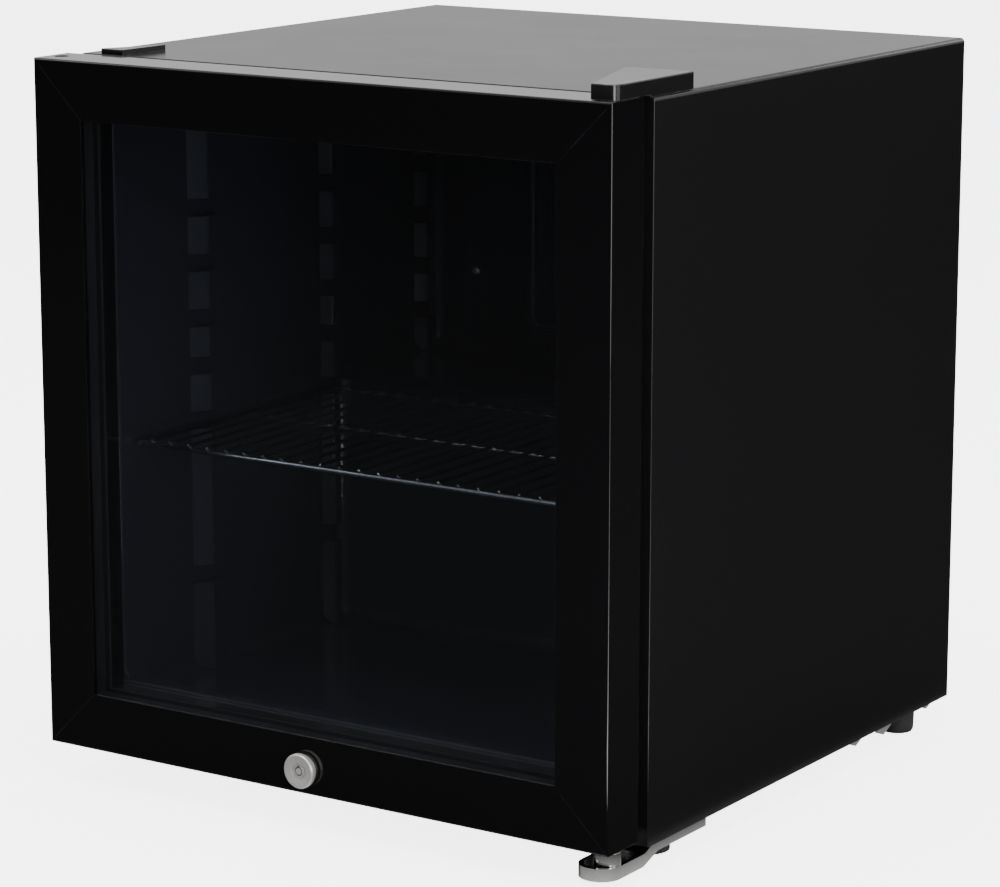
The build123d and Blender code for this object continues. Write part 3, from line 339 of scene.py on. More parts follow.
# ------------------------------------------------------------------ finishes
@dataclass(frozen=True)
class Finish:
    """One opaque surface finish: base colour, gloss, grain, wear and dust."""

    name: str
    surface: Surface
    colour: tuple[float, float, float]
    second: tuple[float, float, float]
    rough: float
    rough_spread: float = 0.06
    metallic: float = 0.0
    coat: float = 0.0
    coat_rough: float = 0.05
    specular: float = 0.5
    grain_scale: float = 1200.0
    wave_scale: float = 30.0
    grain_share: float = 0.5
    relief: float = 0.05
    depth: float = 0.0004
    wear: float = 0.0
    worn: tuple[float, float, float] = (0.3, 0.3, 0.3)
    dust: float = 0.0

    def make(self) -> bpy.types.Material:
        """Build the material.

        Returns:
            The finished material.
        """
        material = bpy.data.materials.new(self.name)
        material.use_nodes = True
        tree = material.node_tree
        shader = tree.nodes["Principled BSDF"]
        shader.inputs["Metallic"].default_value = self.metallic
        shader.inputs["Coat Weight"].default_value = self.coat
        shader.inputs["Coat Roughness"].default_value = self.coat_rough
        shader.inputs["Specular IOR Level"].default_value = self.specular
        relief = GROUPS.use(
            tree,
            GROUPS.relief(),
            Grain_Scale=self.grain_scale,
            Wave_Scale=self.wave_scale,
            Grain_Share=self.grain_share,
        )
        mottle = relief.outputs["Mottle"]
        height = relief.outputs["Height"]
        if self.surface is Surface.METAL:
            line = GROUPS.use(tree, GROUPS.brush()).outputs["Line"]
            height = GROUPS.math(tree, "ADD", height, line)
            mottle = line
        colour = GROUPS.blend(tree, mottle, self.colour, self.second)
        spread = tree.nodes.new("ShaderNodeMapRange")
        spread.inputs["From Min"].default_value = 0.3
        spread.inputs["From Max"].default_value = 0.7
        spread.inputs["To Min"].default_value = max(self.rough - self.rough_spread, 0.02)
        spread.inputs["To Max"].default_value = self.rough + self.rough_spread
        tree.links.new(relief.outputs["Smudge"], spread.inputs["Value"])
        rough = spread.outputs["Result"]
        if self.wear:
            mask = GROUPS.use(tree, GROUPS.wear(), Amount=self.wear).outputs["Mask"]
            colour = GROUPS.blend(tree, mask, colour, self.worn)
        if self.dust:
            mask = GROUPS.use(tree, GROUPS.dust(), Amount=self.dust).outputs["Mask"]
            colour = GROUPS.blend(tree, mask, colour, DUST_COLOUR)
            rough = GROUPS.math(tree, "ADD", rough, GROUPS.math(tree, "MULTIPLY", mask, 0.5))
        tree.links.new(colour, shader.inputs["Base Color"])
        tree.links.new(rough, shader.inputs["Roughness"])
        bump = tree.nodes.new("ShaderNodeBump")
        bump.inputs["Strength"].default_value = self.relief
        bump.inputs["Distance"].default_value = self.depth
        tree.links.new(height, bump.inputs["Height"])
        tree.links.new(bump.outputs["Normal"], shader.inputs["Normal"])
        return material


@dataclass(frozen=True)
class GlassFinish:
    """Clear or tinted glass, which lets the lamps' light reach what is behind it."""

    name: str
    colour: tuple[float, float, float]
    second: tuple[float, float, float]
    rough: float = 0.0

    def make(self) -> bpy.types.Material:
        """Build the material.

        Returns:
            The finished material.
        """
        material = bpy.data.materials.new(self.name)
        material.use_nodes = True
        tree = material.node_tree
        shader = tree.nodes["Principled BSDF"]
        shader.inputs["Metallic"].default_value = 0.0
        shader.inputs["Transmission Weight"].default_value = 1.0
        shader.inputs["IOR"].default_value = 1.45
        smudge = GROUPS.use(tree, GROUPS.relief()).outputs["Smudge"]
        tint = GROUPS.blend(tree, smudge, self.colour, self.second)
        tree.links.new(tint, shader.inputs["Base Color"])
        shader.inputs["Roughness"].default_value = self.rough
        clear = tree.nodes.new("ShaderNodeBsdfTransparent")
        clear.inputs["Color"].default_value = (*self.colour, 1.0)
        path = tree.nodes.new("ShaderNodeLightPath")
        GROUPS.choose(tree, path.outputs["Is Shadow Ray"], shader, clear)
        return material


FINISHES = {finish.name: finish for finish in (
    Finish(
        "cabinet_paint", Surface.PAINT, (0.0046, 0.0046, 0.0052), (0.0070, 0.0070, 0.0077),
        rough=0.19, rough_spread=0.012, specular=0.55, grain_scale=850.0, grain_share=0.65,
        relief=0.22, depth=0.0003, wear=0.12, worn=(0.10, 0.10, 0.10), dust=0.015,
    ),
    Finish(
        "galvanised_sheet", Surface.METAL, (0.34, 0.35, 0.36), (0.52, 0.53, 0.54),
        rough=0.38, rough_spread=0.10, metallic=1.0, grain_scale=300.0, relief=0.15, wear=0.2,
        worn=(0.7, 0.7, 0.7),
    ),
    Finish(
        "liner_plastic", Surface.MOULDING, (0.0145, 0.0152, 0.0205), (0.0195, 0.0205, 0.0268),
        rough=0.20, rough_spread=0.03, grain_scale=1400.0, grain_share=0.7, relief=0.10,
        depth=0.0003,
    ),
    Finish(
        "foam", Surface.MOULDING, (0.62, 0.52, 0.30), (0.75, 0.66, 0.42), rough=0.9,
        grain_scale=500.0, relief=0.6, depth=0.001,
    ),
    Finish(
        "evaporator_aluminium", Surface.METAL, (0.030, 0.033, 0.041), (0.055, 0.058, 0.068),
        rough=0.34, rough_spread=0.08, metallic=0.6, grain_scale=700.0, relief=0.20, wear=0.2,
        worn=(0.2, 0.2, 0.21),
    ),
    Finish(
        "screw_steel", Surface.METAL, (0.48, 0.48, 0.49), (0.66, 0.66, 0.67), rough=0.26,
        metallic=1.0, relief=0.10, wear=0.25, worn=(0.85, 0.85, 0.85),
    ),
    Finish(
        "inner_plastic", Surface.MOULDING, (0.018, 0.019, 0.024), (0.026, 0.027, 0.033),
        rough=0.36, grain_scale=1600.0, grain_share=0.85, relief=0.22, depth=0.0003,
    ),
    Finish(
        "knob_plastic", Surface.MOULDING, (0.030, 0.030, 0.033), (0.042, 0.042, 0.046),
        rough=0.32, grain_scale=1600.0, grain_share=0.85, relief=0.20, depth=0.0003, wear=0.25,
        worn=(0.12, 0.12, 0.12),
    ),
    Finish(
        "door_gloss", Surface.PAINT, (0.0018, 0.0018, 0.0022), (0.0028, 0.0028, 0.0033),
        rough=0.09, rough_spread=0.03, coat=0.5, coat_rough=0.03, grain_scale=300.0,
        wave_scale=22.0, grain_share=0.06, relief=0.04, depth=0.0004, wear=0.10,
        worn=(0.08, 0.08, 0.08), dust=0.06,
    ),
    Finish(
        "key_plastic", Surface.MOULDING, (0.20, 0.20, 0.20), (0.26, 0.26, 0.26), rough=0.5,
        relief=0.2,
    ),
    Finish(
        "spacer_aluminium", Surface.METAL, (0.030, 0.030, 0.034), (0.050, 0.050, 0.055),
        rough=0.38, metallic=0.9, relief=0.15,
    ),
    Finish(
        "seal_rubber", Surface.RUBBER, (0.0075, 0.0075, 0.0080), (0.012, 0.012, 0.0125),
        rough=0.6, relief=0.25,
    ),
    Finish(
        "gasket_rubber", Surface.RUBBER, (0.0085, 0.0085, 0.0092), (0.014, 0.014, 0.015),
        rough=0.55, grain_scale=900.0, relief=0.25, dust=0.1,
    ),
    Finish(
        "bush_plastic", Surface.MOULDING, (0.58, 0.58, 0.56), (0.68, 0.68, 0.66), rough=0.38,
        relief=0.1,
    ),
    Finish(
        "plug_plastic", Surface.MOULDING, (0.0050, 0.0050, 0.0055), (0.0085, 0.0085, 0.009),
        rough=0.40, relief=0.15,
    ),
    Finish(
        "bracket_steel", Surface.METAL, (0.40, 0.40, 0.39), (0.53, 0.53, 0.51), rough=0.13,
        rough_spread=0.05, metallic=1.0, grain_scale=500.0, wave_scale=90.0, relief=0.08,
        depth=0.0005, wear=0.3, worn=(0.85, 0.85, 0.84),
    ),
    Finish(
        "cover_gloss", Surface.MOULDING, (0.0055, 0.0055, 0.0060), (0.0085, 0.0085, 0.0090),
        rough=0.16, rough_spread=0.03, coat=0.3, grain_scale=600.0, grain_share=0.2, relief=0.06,
        wear=0.25, worn=(0.16, 0.16, 0.16), dust=0.14,
    ),
    Finish(
        "lock_nickel", Surface.METAL, (0.74, 0.73, 0.70), (0.86, 0.85, 0.82), rough=0.36,
        rough_spread=0.05, metallic=0.70, relief=0.08, wear=0.3, worn=(0.88, 0.87, 0.83),
    ),
    Finish(
        "foot_plastic", Surface.MOULDING, (0.012, 0.012, 0.0125), (0.019, 0.019, 0.0195),
        rough=0.5, relief=0.25, wear=0.3, worn=(0.08, 0.08, 0.08),
    ),
    Finish(
        "foot_rubber", Surface.RUBBER, (0.0095, 0.0095, 0.0105), (0.0165, 0.0165, 0.0175),
        rough=0.65, grain_scale=800.0, relief=0.35, dust=0.2,
    ),
    Finish(
        "compressor_paint", Surface.PAINT, (0.0070, 0.0070, 0.0075), (0.011, 0.011, 0.0115),
        rough=0.34, grain_scale=420.0, wave_scale=60.0, relief=0.35, depth=0.0006, wear=0.4,
        worn=(0.10, 0.095, 0.09), dust=0.5,
    ),
    Finish(
        "relay_plastic", Surface.MOULDING, (0.013, 0.013, 0.0135), (0.020, 0.020, 0.0205),
        rough=0.45, relief=0.3, dust=0.4,
    ),
    Finish(
        "drain_plastic", Surface.MOULDING, (0.52, 0.52, 0.50), (0.62, 0.62, 0.60), rough=0.45,
        relief=0.1,
    ),
    Finish(
        "condenser_paint", Surface.PAINT, (0.0090, 0.0090, 0.0095), (0.0135, 0.0135, 0.0140),
        rough=0.38, grain_scale=600.0, relief=0.25, wear=0.4, worn=(0.12, 0.12, 0.12), dust=0.4,
    ),
    Finish(
        "copper", Surface.METAL, (0.52, 0.25, 0.15), (0.68, 0.36, 0.22), rough=0.3,
        rough_spread=0.12, metallic=1.0, relief=0.12, wear=0.2, worn=(0.8, 0.5, 0.35),
    ),
    Finish(
        "shelf_wire", Surface.METAL, (0.31, 0.32, 0.33), (0.42, 0.43, 0.44), rough=0.17,
        rough_spread=0.05, metallic=1.0, grain_scale=900.0, relief=0.06, wear=0.2,
        worn=(0.7, 0.7, 0.7),
    ),
    Finish(
        "dial_print", Surface.PAINT, (0.50, 0.50, 0.50), (0.60, 0.60, 0.60), rough=0.5,
        relief=0.1,
    ),
    GlassFinish("door_glass", (0.88, 0.90, 0.93), (0.90, 0.92, 0.95)),
    GlassFinish("lamp_lens", (0.86, 0.88, 0.90), (0.80, 0.82, 0.84), rough=0.30),
)}


# ------------------------------------------------------------------ mesh tools
def point(x: float, y: float, z: float) -> Vector:
    """A place given in millimetres, in metres."""
    return Vector((x, y, z)) * MM


def upright(place: Vector, along: Vector) -> Matrix:
    """The matrix that puts a shape at a place with its Z along a direction."""
    return Matrix.Translation(place) @ along.to_track_quat("Z", "Y").to_matrix().to_4x4()


def in_order(edges: set[bmesh.types.BMEdge]) -> list[bmesh.types.BMEdge]:
    """Edges sorted by their places, which keeps a set's own order out of the mesh."""
    return sorted(edges, key=lambda e: tuple(e.verts[0].co + e.verts[1].co))


def ring_edges(verts: list[bmesh.types.BMVert]) -> list[bmesh.types.BMEdge]:
    """The edges that join the given vertices to each other."""
    chosen = set(verts)
    return in_order({e for v in verts for e in v.link_edges if chosen.issuperset(e.verts)})


def soften(
    bm: bmesh.types.BMesh, edges: list[bmesh.types.BMEdge], offset: float, segments: int
) -> None:
    """Round edges over.

    Args:
        bm: The mesh.
        edges: The edges to round.
        offset: How far they are rounded.
        segments: How many steps the rounding has.
    """
    bmesh.ops.bevel(
        bm, geom=edges, offset=offset, offset_type="OFFSET", segments=segments, profile=0.5,
        affect="EDGES", material=-1,
    )


def absorb(bm: bmesh.types.BMesh, other: bmesh.types.BMesh) -> None:
    """Add a second mesh to a mesh, and free it.

    Args:
        bm: The mesh that grows.
        other: The mesh it takes up.
    """
    shape = bpy.data.meshes.new("absorbed_shape")
    other.to_mesh(shape)
    other.free()
    bm.from_mesh(shape)
    bpy.data.meshes.remove(shape)


def add_bar(
    bm: bmesh.types.BMesh,
    start: Vector,
    end: Vector,
    radius: float,
    round_off: float = 0.0,
    segments: int = 12,
    tip: float | None = None,
) -> None:
    """Add a round bar whose ends may be rounded over.

    Args:
        bm: The mesh to add it to.
        start: One end.
        end: The other end.
        radius: The bar's radius.
        round_off: How far its rims are rounded.
        segments: How many sides it has.
        tip: The radius at the far end, where it differs.
    """
    along = end - start
    made = bmesh.ops.create_cone(
        bm,
        cap_ends=True,
        segments=segments,
        radius1=radius,
        radius2=radius if tip is None else tip,
        depth=along.length,
        matrix=upright((start + end) / 2, along),
    )["verts"]
    if not round_off:
        return
    faces = {f for v in made for f in v.link_faces if len(f.verts) > 4}
    soften(bm, in_order({e for f in faces for e in f.edges}), round_off, 3)


def add_block(
    bm: bmesh.types.BMesh, low: Vector, high: Vector, bevel: float, segments: int = 2
) -> None:
    """Add a block with softened edges.

    Args:
        bm: The mesh to add it to.
        low: Its low corner.
        high: Its high corner.
        bevel: How far its edges are rounded.
        segments: How many steps the rounding has.
    """
    size = high - low
    place = Matrix.Translation((low + high) / 2) @ Matrix.Diagonal((*size, 1.0))
    made = bmesh.ops.create_cube(bm, size=1.0, matrix=place)["verts"]
    if bevel:
        soften(bm, ring_edges(made), bevel, segments)


def add_tube(
    bm: bmesh.types.BMesh, route: list[Vector], bend: float, radius: float, segments: int = 12
) -> None:
    """Add a bent tube: its ring is extruded along the straights and spun round the bends.

    Args:
        bm: The mesh to add it to.
        route: The corners it passes, with its two ends.
        bend: The radius of its bends.
        radius: The tube's radius.
        segments: How many sides it has.
    """
    heading = (route[1] - route[0]).normalized()
    here = route[0]
    ring = bmesh.ops.create_circle(
        bm, cap_ends=True, radius=radius, segments=segments, matrix=upright(here, heading)
    )["verts"]
    edges = ring_edges(ring)
    for corner, after in zip(route[1:], [*route[2:], None]):
        turn = 0.0
        if after is not None:
            onward = (after - corner).normalized()
            turn = heading.angle(onward)
        trim = bend * math.tan(turn / 2)
        stop = corner - heading * trim
        grown = bmesh.ops.extrude_edge_only(bm, edges=edges)["geom"]
        verts = [g for g in grown if isinstance(g, bmesh.types.BMVert)]
        bmesh.ops.translate(bm, verts=verts, vec=stop - here)
        edges = ring_edges(verts)
        here = stop
        if turn > 1e-4:
            axis = heading.cross(onward).normalized()
            centre = here + axis.cross(heading) * bend
            swept = bmesh.ops.spin(
                bm,
                geom=[*edges, *verts],
                cent=centre,
                axis=axis,
                dvec=(0, 0, 0),
                angle=turn,
                steps=max(3, round(math.degrees(turn) / 18)),
                use_merge=False,
                use_duplicate=False,
            )["geom_last"]
            edges = [g for g in swept if isinstance(g, bmesh.types.BMEdge)]
            here = corner + onward * trim
            heading = onward
    bmesh.ops.contextual_create(bm, geom=edges)


def finish_mesh(
    bm: bmesh.types.BMesh, name: str, smooth: float = 40.0, recalculate: bool = True
) -> bpy.types.Object:
    """Turn a bmesh into an object at the origin.

    Args:
        bm: The finished mesh.
        name: The object's name.
        smooth: Edges that turn by less than this many degrees are shaded smooth.
        recalculate: Whether its normals are worked out again.

    Returns:
        The new object.
    """
    bmesh.ops.remove_doubles(bm, verts=bm.verts, dist=1e-6)
    if recalculate:
        bmesh.ops.recalc_face_normals(bm, faces=bm.faces)
    for face in bm.faces:
        face.smooth = True
    for edge in bm.edges:
        if len(edge.link_faces) == 2 and edge.calc_face_angle(0.0) > math.radians(smooth):
            edge.smooth = False
    mesh = bpy.data.meshes.new(name)
    bm.to_mesh(mesh)
    bm.free()
    made = bpy.data.objects.new(name, mesh)
    bpy.context.scene.collection.objects.link(made)
    return made


# ------------------------------------------------------------------ the wardrobe of finishes
@dataclass
class Wardrobe:
    """Makes each material once and puts it on nodes and pieces."""

    made: dict[str, bpy.types.Material] = field(default_factory=dict)

    def get(self, slot: str) -> bpy.types.Material:
        """The material of a slot, made on first use."""
        if slot not in self.made:
            self.made[slot] = FINISHES[slot].make()
        return self.made[slot]

    def dress(self, thing: bpy.types.Object, slot: str) -> None:
        """Give an object one slot's material.

        Args:
            thing: The object.
            slot: The slot's name.
        """
        thing.data.materials.clear()
        thing.data.materials.append(self.get(slot))

    def dress_frame(self, frame: dict) -> None:
        """Dress every CAD node by the slot its record names.
        """
        for part in frame["record"]["subparts"]:
            node = frame["nodes"].get(part["node"])
            if node is not None:
                self.dress(node, part["material_slot"])
        LOG.info("dressed %d nodes", len(frame["nodes"]))


@dataclass
class Piece:
    """What every replaced part shares: a body, a slot and the node it stands for."""

    wardrobe: Wardrobe
    body: str = "cabinet"
    slot: str = "screw_steel"

    def place(self, made: bpy.types.Object, *nodes: str) -> bpy.types.Object:
        """Dress a finished mesh, put it on its body and hide the nodes it stands for.

        Args:
            made: The piece.
            nodes: The CAD nodes it replaces.

        Returns:
            The piece.
        """
        self.wardrobe.dress(made, self.slot)
        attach(made, self.body)
        if nodes:
            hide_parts(*nodes)
        LOG.info("built %s: %d faces", made.name, len(made.data.polygons))
        return made


# ------------------------------------------------------------------ shelf
@dataclass
class WireShelf(Piece):
    """The welded wire shelf, with beaded wire ends over its rails."""

    body: str = "shelf"
    slot: str = "shelf_wire"
    rail: float = 2.0
    wire: float = 1.2
    pitch: float = 15.1
    inset: float = 0.4
    end_room: float = 12.0

    def build(self) -> None:
        """Make the rails, the stay and the wires inside the node's box."""
        low, high = (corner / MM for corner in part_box("wire_shelf"))
        bm = bmesh.new()
        rail_z = low.z + self.rail
        wire_z = high.z - self.wire
        front, back = low.y + self.inset + self.rail, high.y - self.inset - self.rail
        for y in (front, back):
            add_bar(bm, point(low.x, y, rail_z), point(high.x, y, rail_z), self.rail * MM,
                    self.rail * 0.7 * MM, 16)
        for side in Side:
            x = (high.x - self.rail) * side.value
            add_bar(bm, point(x, front, rail_z), point(x, back, rail_z), self.rail * 0.9 * MM)
        middle = (front + back) / 2
        add_bar(bm, point(low.x + 2, middle, rail_z), point(high.x - 2, middle, rail_z),
                self.rail * 0.75 * MM)
        count = int((high.x - low.x - self.end_room) / self.pitch) + 1
        for i in range(count):
            x = (i - (count - 1) / 2) * self.pitch
            add_bar(bm, point(x, low.y, wire_z), point(x, high.y, wire_z), self.wire * MM,
                    self.wire * 0.8 * MM, 10)
            for y in (front, back):
                bmesh.ops.create_icosphere(
                    bm, subdivisions=1, radius=self.wire * 1.25 * MM,
                    matrix=Matrix.Translation(point(x, y, wire_z - self.wire * 0.7))
                    @ Matrix.Diagonal((1.15, 1.3, 0.6, 1.0)),
                )
        self.place(finish_mesh(bm, "welded_wire_shelf"), "wire_shelf")


# ------------------------------------------------------------------ cold plate
@dataclass
class ColdPlate(Piece):
    """The roll-bond plate with its raised, rounded channels."""

    slot: str = "evaporator_aluminium"
    thick: float = 1.4
    width: float = 8.0
    bend: float = 9.0
    plain: float = 16.0
    reaches: tuple[float, float] = (100.0, 80.0)

    def routes(self, low: float, high: float) -> list[list[tuple[float, float]]]:
        """The channels' corners across the plate.

        Args:
            low: The height where the channels start.
            high: The height where they end.

        Returns:
            One list of corners for each channel.
        """
        outer, inner = self.reaches
        found = [
            [(-outer, high), (-outer, low), (outer, low), (outer, high)],
            [(-inner, high), (-inner, low + 15), (inner, low + 15), (inner, high)],
        ]
        snake = []
        for i in range(7):
            ends = [(-60.0 + 20 * i, high), (-60.0 + 20 * i, low + 34)]
            snake += ends if i % 2 == 0 else ends[::-1]
        return [*found, snake]

    def build(self) -> None:
        """Make the plate and its channels."""
        low, high = (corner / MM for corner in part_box("evaporator_plate"))
        face = high.y - self.thick
        bm = bmesh.new()
        add_block(bm, point(low.x, face, low.z), point(high.x, high.y, high.z), 0.3 * MM)
        tubes = bmesh.new()
        for route in self.routes(low.z + self.plain, high.z - 10):
            corners = [point(x, 0, z) for x, z in route]
            add_tube(tubes, corners, self.bend * MM, self.width / 2 * MM, 14)
        bmesh.ops.scale(tubes, vec=(1.0, 0.55, 1.0), verts=tubes.verts)
        bmesh.ops.translate(tubes, vec=point(0, face + 0.1, 0), verts=tubes.verts)
        absorb(bm, tubes)
        self.place(finish_mesh(bm, "roll_bond_plate", 50.0), "evaporator_plate")


# ------------------------------------------------------------------ screws
@dataclass
class Screws(Piece):
    """Pan-head screws with a pressed recess, at given places."""

    head: float = 3.8
    rise: float = 2.0
    shank: float = 2.0
    recess: Recess = Recess.CROSS

    def add(self, bm: bmesh.types.BMesh, seat: Vector, out: Vector, grip: float) -> None:
        """Add one screw.

        Args:
            bm: The mesh to add it to.
            seat: Where the head's underside sits.
            out: The way the head points.
            grip: How far the shank runs behind the head.
        """
        one = bmesh.new()
        self.add_head(one)
        bmesh.ops.translate(one, vec=(0, 0, self.rise * MM), verts=one.verts)
        add_bar(one, Vector((0, 0, -grip * MM)), Vector((0, 0, 0.2 * MM)), self.shank * MM)
        bmesh.ops.transform(one, matrix=upright(seat, out), verts=one.verts)
        absorb(bm, one)

    def add_head(self, one: bmesh.types.BMesh) -> None:
        """Make the domed head with its recess, with its top at height zero.

        Args:
            one: The mesh to add it to.
        """
        arm, slot = self.head * 0.52 * MM, self.head * 0.13 * MM
        mouth = bmesh.ops.create_circle(one, cap_ends=False, radius=arm, segments=24)["verts"]
        steps = (
            (arm, 0.0), (arm, slot), ((arm + slot) / 2, slot),
            (slot, slot), (slot, (arm + slot) / 2), (slot, arm),
        )
        ordered = sorted(mouth, key=lambda v: math.atan2(v.co.y, v.co.x) % math.tau)
        for i, vert in enumerate(ordered):
            quarter = Matrix.Rotation(math.radians(90 * (i // 6)), 3, "Z")
            vert.co = quarter @ Vector((*steps[i % 6], 0.0))
        rims = [(0.62, -0.02), (0.86, -0.28), (1.0, -0.75), (1.0, -1.0)]
        before = ring_edges(mouth)
        for share, drop in rims:
            ring = bmesh.ops.create_circle(
                one, cap_ends=share == 1.0 and drop == -1.0, radius=self.head * share * MM,
                segments=24, matrix=Matrix.Translation((0, 0, drop * self.rise * MM)),
            )["verts"]
            edges = ring_edges(ring)
            bmesh.ops.bridge_loops(one, edges=[*before, *edges])
            before = edges
        floor = bmesh.ops.extrude_edge_only(one, edges=ring_edges(ordered))["geom"]
        deep = [g for g in floor if isinstance(g, bmesh.types.BMVert)]
        bmesh.ops.translate(one, vec=(0, 0, -0.6 * self.rise * MM), verts=deep)
        bmesh.ops.scale(one, vec=(0.8, 0.8, 1.0), verts=deep)
        bmesh.ops.contextual_create(one, geom=ring_edges(deep))


@dataclass
class Fasteners(Piece):
    """All the screws of the fridge, each on its own plate."""

    half: float = 215.0
    bracket_tail: float = 69.0

    def build(self) -> None:
        """Make the cold plate's, the hinges' and the strike's screws."""
        self.cold_plate_screws()
        self.hinge_screws()
        self.strike_screws()

    def cold_plate_screws(self) -> None:
        """Make the four screws of the cold plate and their stand-offs."""
        low, high = (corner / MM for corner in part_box("evaporator_screws"))
        bm = bmesh.new()
        kind = Screws(self.wardrobe, head=4.0, rise=2.2, shank=1.9)
        seat = low.y + 2.2
        for side in Side:
            x = (high.x - 4) * side.value
            for z in (low.z + 4, high.z - 4):
                kind.add(bm, point(x, seat, z), Vector((0, -1, 0)), high.y - seat)
                add_bar(bm, point(x, seat + 1.4, z), point(x, high.y, z), 4 * MM, 0.3 * MM)
        self.place(finish_mesh(bm, "cold_plate_screws"), "evaporator_screws")

    def hinge_screws(self) -> None:
        """Make the screws of the top bracket and those under the lower bracket."""
        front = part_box("outer_shell")[0].y / MM
        low, high = (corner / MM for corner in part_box("hinge_screws"))
        bm = bmesh.new()
        kind = Screws(self.wardrobe)
        top = high.z - 2.0
        for x, y in ((self.half - 12, front + 14), (self.half - 22, front + 27),
                     (self.half - 12, front + 34)):
            kind.add(bm, point(x, y, top), Vector((0, 0, 1)), 3.5)
        tail = front + self.bracket_tail
        for x, y in ((self.half - 12, tail - 12), (self.half - 38, tail - 12),
                     (self.half - 38, tail - 40)):
            kind.add(bm, point(x, y, low.z + 2.0), Vector((0, 0, -1)), 4.9)
        self.place(finish_mesh(bm, "hinge_plate_screws"), "hinge_screws")

    def strike_screws(self) -> None:
        """Make the two screws of the lock's strike plate."""
        low, high = (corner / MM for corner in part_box("strike_screws"))
        bm = bmesh.new()
        kind = Screws(self.wardrobe, head=3.0, rise=1.6, shank=1.5)
        y = (low.y + high.y) / 2
        for x in (low.x + 3, high.x - 3):
            kind.add(bm, point(x, y, low.z + 1.6), Vector((0, 0, -1)), 1.4)
        self.place(finish_mesh(bm, "strike_plate_screws"), "strike_screws")


# ------------------------------------------------------------------ door gasket
@dataclass
class Gasket(Piece):
    """The magnetic gasket: a dart, a folded bellows and a flat magnet face."""

    body: str = "door"
    slot: str = "gasket_rubber"
    reach_out: float = 11.8
    outline: tuple[tuple[float, float], ...] = (
        (3.2, -4.4), (3.2, -0.2), (0.3, 0.0), (0.2, 1.0), (2.2, 2.2), (2.4, 3.2), (0.8, 4.6),
        (0.8, 5.6), (1.6, 6.4), (0.1, 7.2), (0.0, 8.4), (0.1, 11.2), (0.8, 11.7), (9.2, 11.7),
        (9.9, 11.2), (10.0, 8.4), (9.9, 7.2), (8.4, 6.4), (9.2, 5.6), (9.2, 4.6), (7.6, 3.2),
        (7.8, 2.2), (9.8, 1.0), (9.7, 0.0), (6.8, -0.2), (6.8, -4.4),
    )

    def build(self) -> None:
        """Sweep the outline round the door, mitred at its corners."""
        low, high = (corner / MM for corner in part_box("door_gasket"))
        base = high.y - self.reach_out
        middle = (low + high) / 2
        reach = (high - low) / 2
        bm = bmesh.new()
        loops = []
        for sx, sz in ((-1, -1), (1, -1), (1, 1), (-1, 1)):
            verts = [
                bm.verts.new(
                    point(middle.x + sx * (reach.x - u), base + v, middle.z + sz * (reach.z - u))
                )
                for u, v in self.outline
            ]
            pairs = zip(verts, [*verts[1:], verts[0]])
            loops.append([bm.edges.new(pair) for pair in pairs])
        for first, second in zip(loops, [*loops[1:], loops[0]]):
            bmesh.ops.bridge_loops(bm, edges=[*first, *second])
        self.place(finish_mesh(bm, "bellows_gasket", 50.0), "door_gasket")


# ------------------------------------------------------------------ feet
@dataclass
class LevellingFoot(Piece):
    """A fluted levelling foot on its threaded stud."""

    side: Side = Side.LEFT
    radius: float = 14.0
    thick: float = 7.0
    flutes: int = 30
    flute_depth: float = 0.7
    turns: int = 16
    root: float = 3.55
    crest: float = 4.0

    def build(self) -> None:
        """Make the fluted pad and the ridged stud in the node's place."""
        name = f"front_foot_{self.side.name.lower()}"
        low, high = (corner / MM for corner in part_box(name))
        centre = (low + high) / 2
        bm = bmesh.new()
        pad = bmesh.ops.create_cone(
            bm, cap_ends=True, segments=2 * self.flutes, radius1=self.radius * MM,
            radius2=self.radius * MM, depth=self.thick * MM,
            matrix=Matrix.Translation(point(centre.x, centre.y, self.thick / 2)),
        )["verts"]
        for i, vert in enumerate(pad):
            if (i // 2) % 2:
                away = Vector((vert.co.x - centre.x * MM, vert.co.y - centre.y * MM, 0))
                vert.co -= away.normalized() * self.flute_depth * MM
        caps = {f for v in pad for f in v.link_faces if len(f.verts) > 4}
        for cap in sorted(caps, key=lambda f: f.calc_center_median().z):
            rim = bmesh.ops.inset_individual(bm, faces=[cap], thickness=1.0 * MM)["faces"]
            lift = -0.8 if cap.calc_center_median().z > self.thick / 2 * MM else 0.0
            outer = {v for f in rim for v in f.verts} - set(cap.verts)
            bmesh.ops.translate(bm, vec=(0, 0, lift * MM), verts=list(outer))
        pitch = (high.z - self.thick) / self.turns
        for i in range(self.turns):
            z = self.thick + i * pitch
            stops = [point(centre.x, centre.y, z + pitch * share) for share in (0, 0.5, 1)]
            root, crest = self.root * MM, self.crest * MM
            add_bar(bm, stops[0], stops[1], root, tip=crest, segments=20)
            add_bar(bm, stops[1], stops[2], crest, tip=root, segments=20)
        made = finish_mesh(bm, f"levelling_foot_{self.side.name.lower()}", 30.0)
        self.place(made, name)


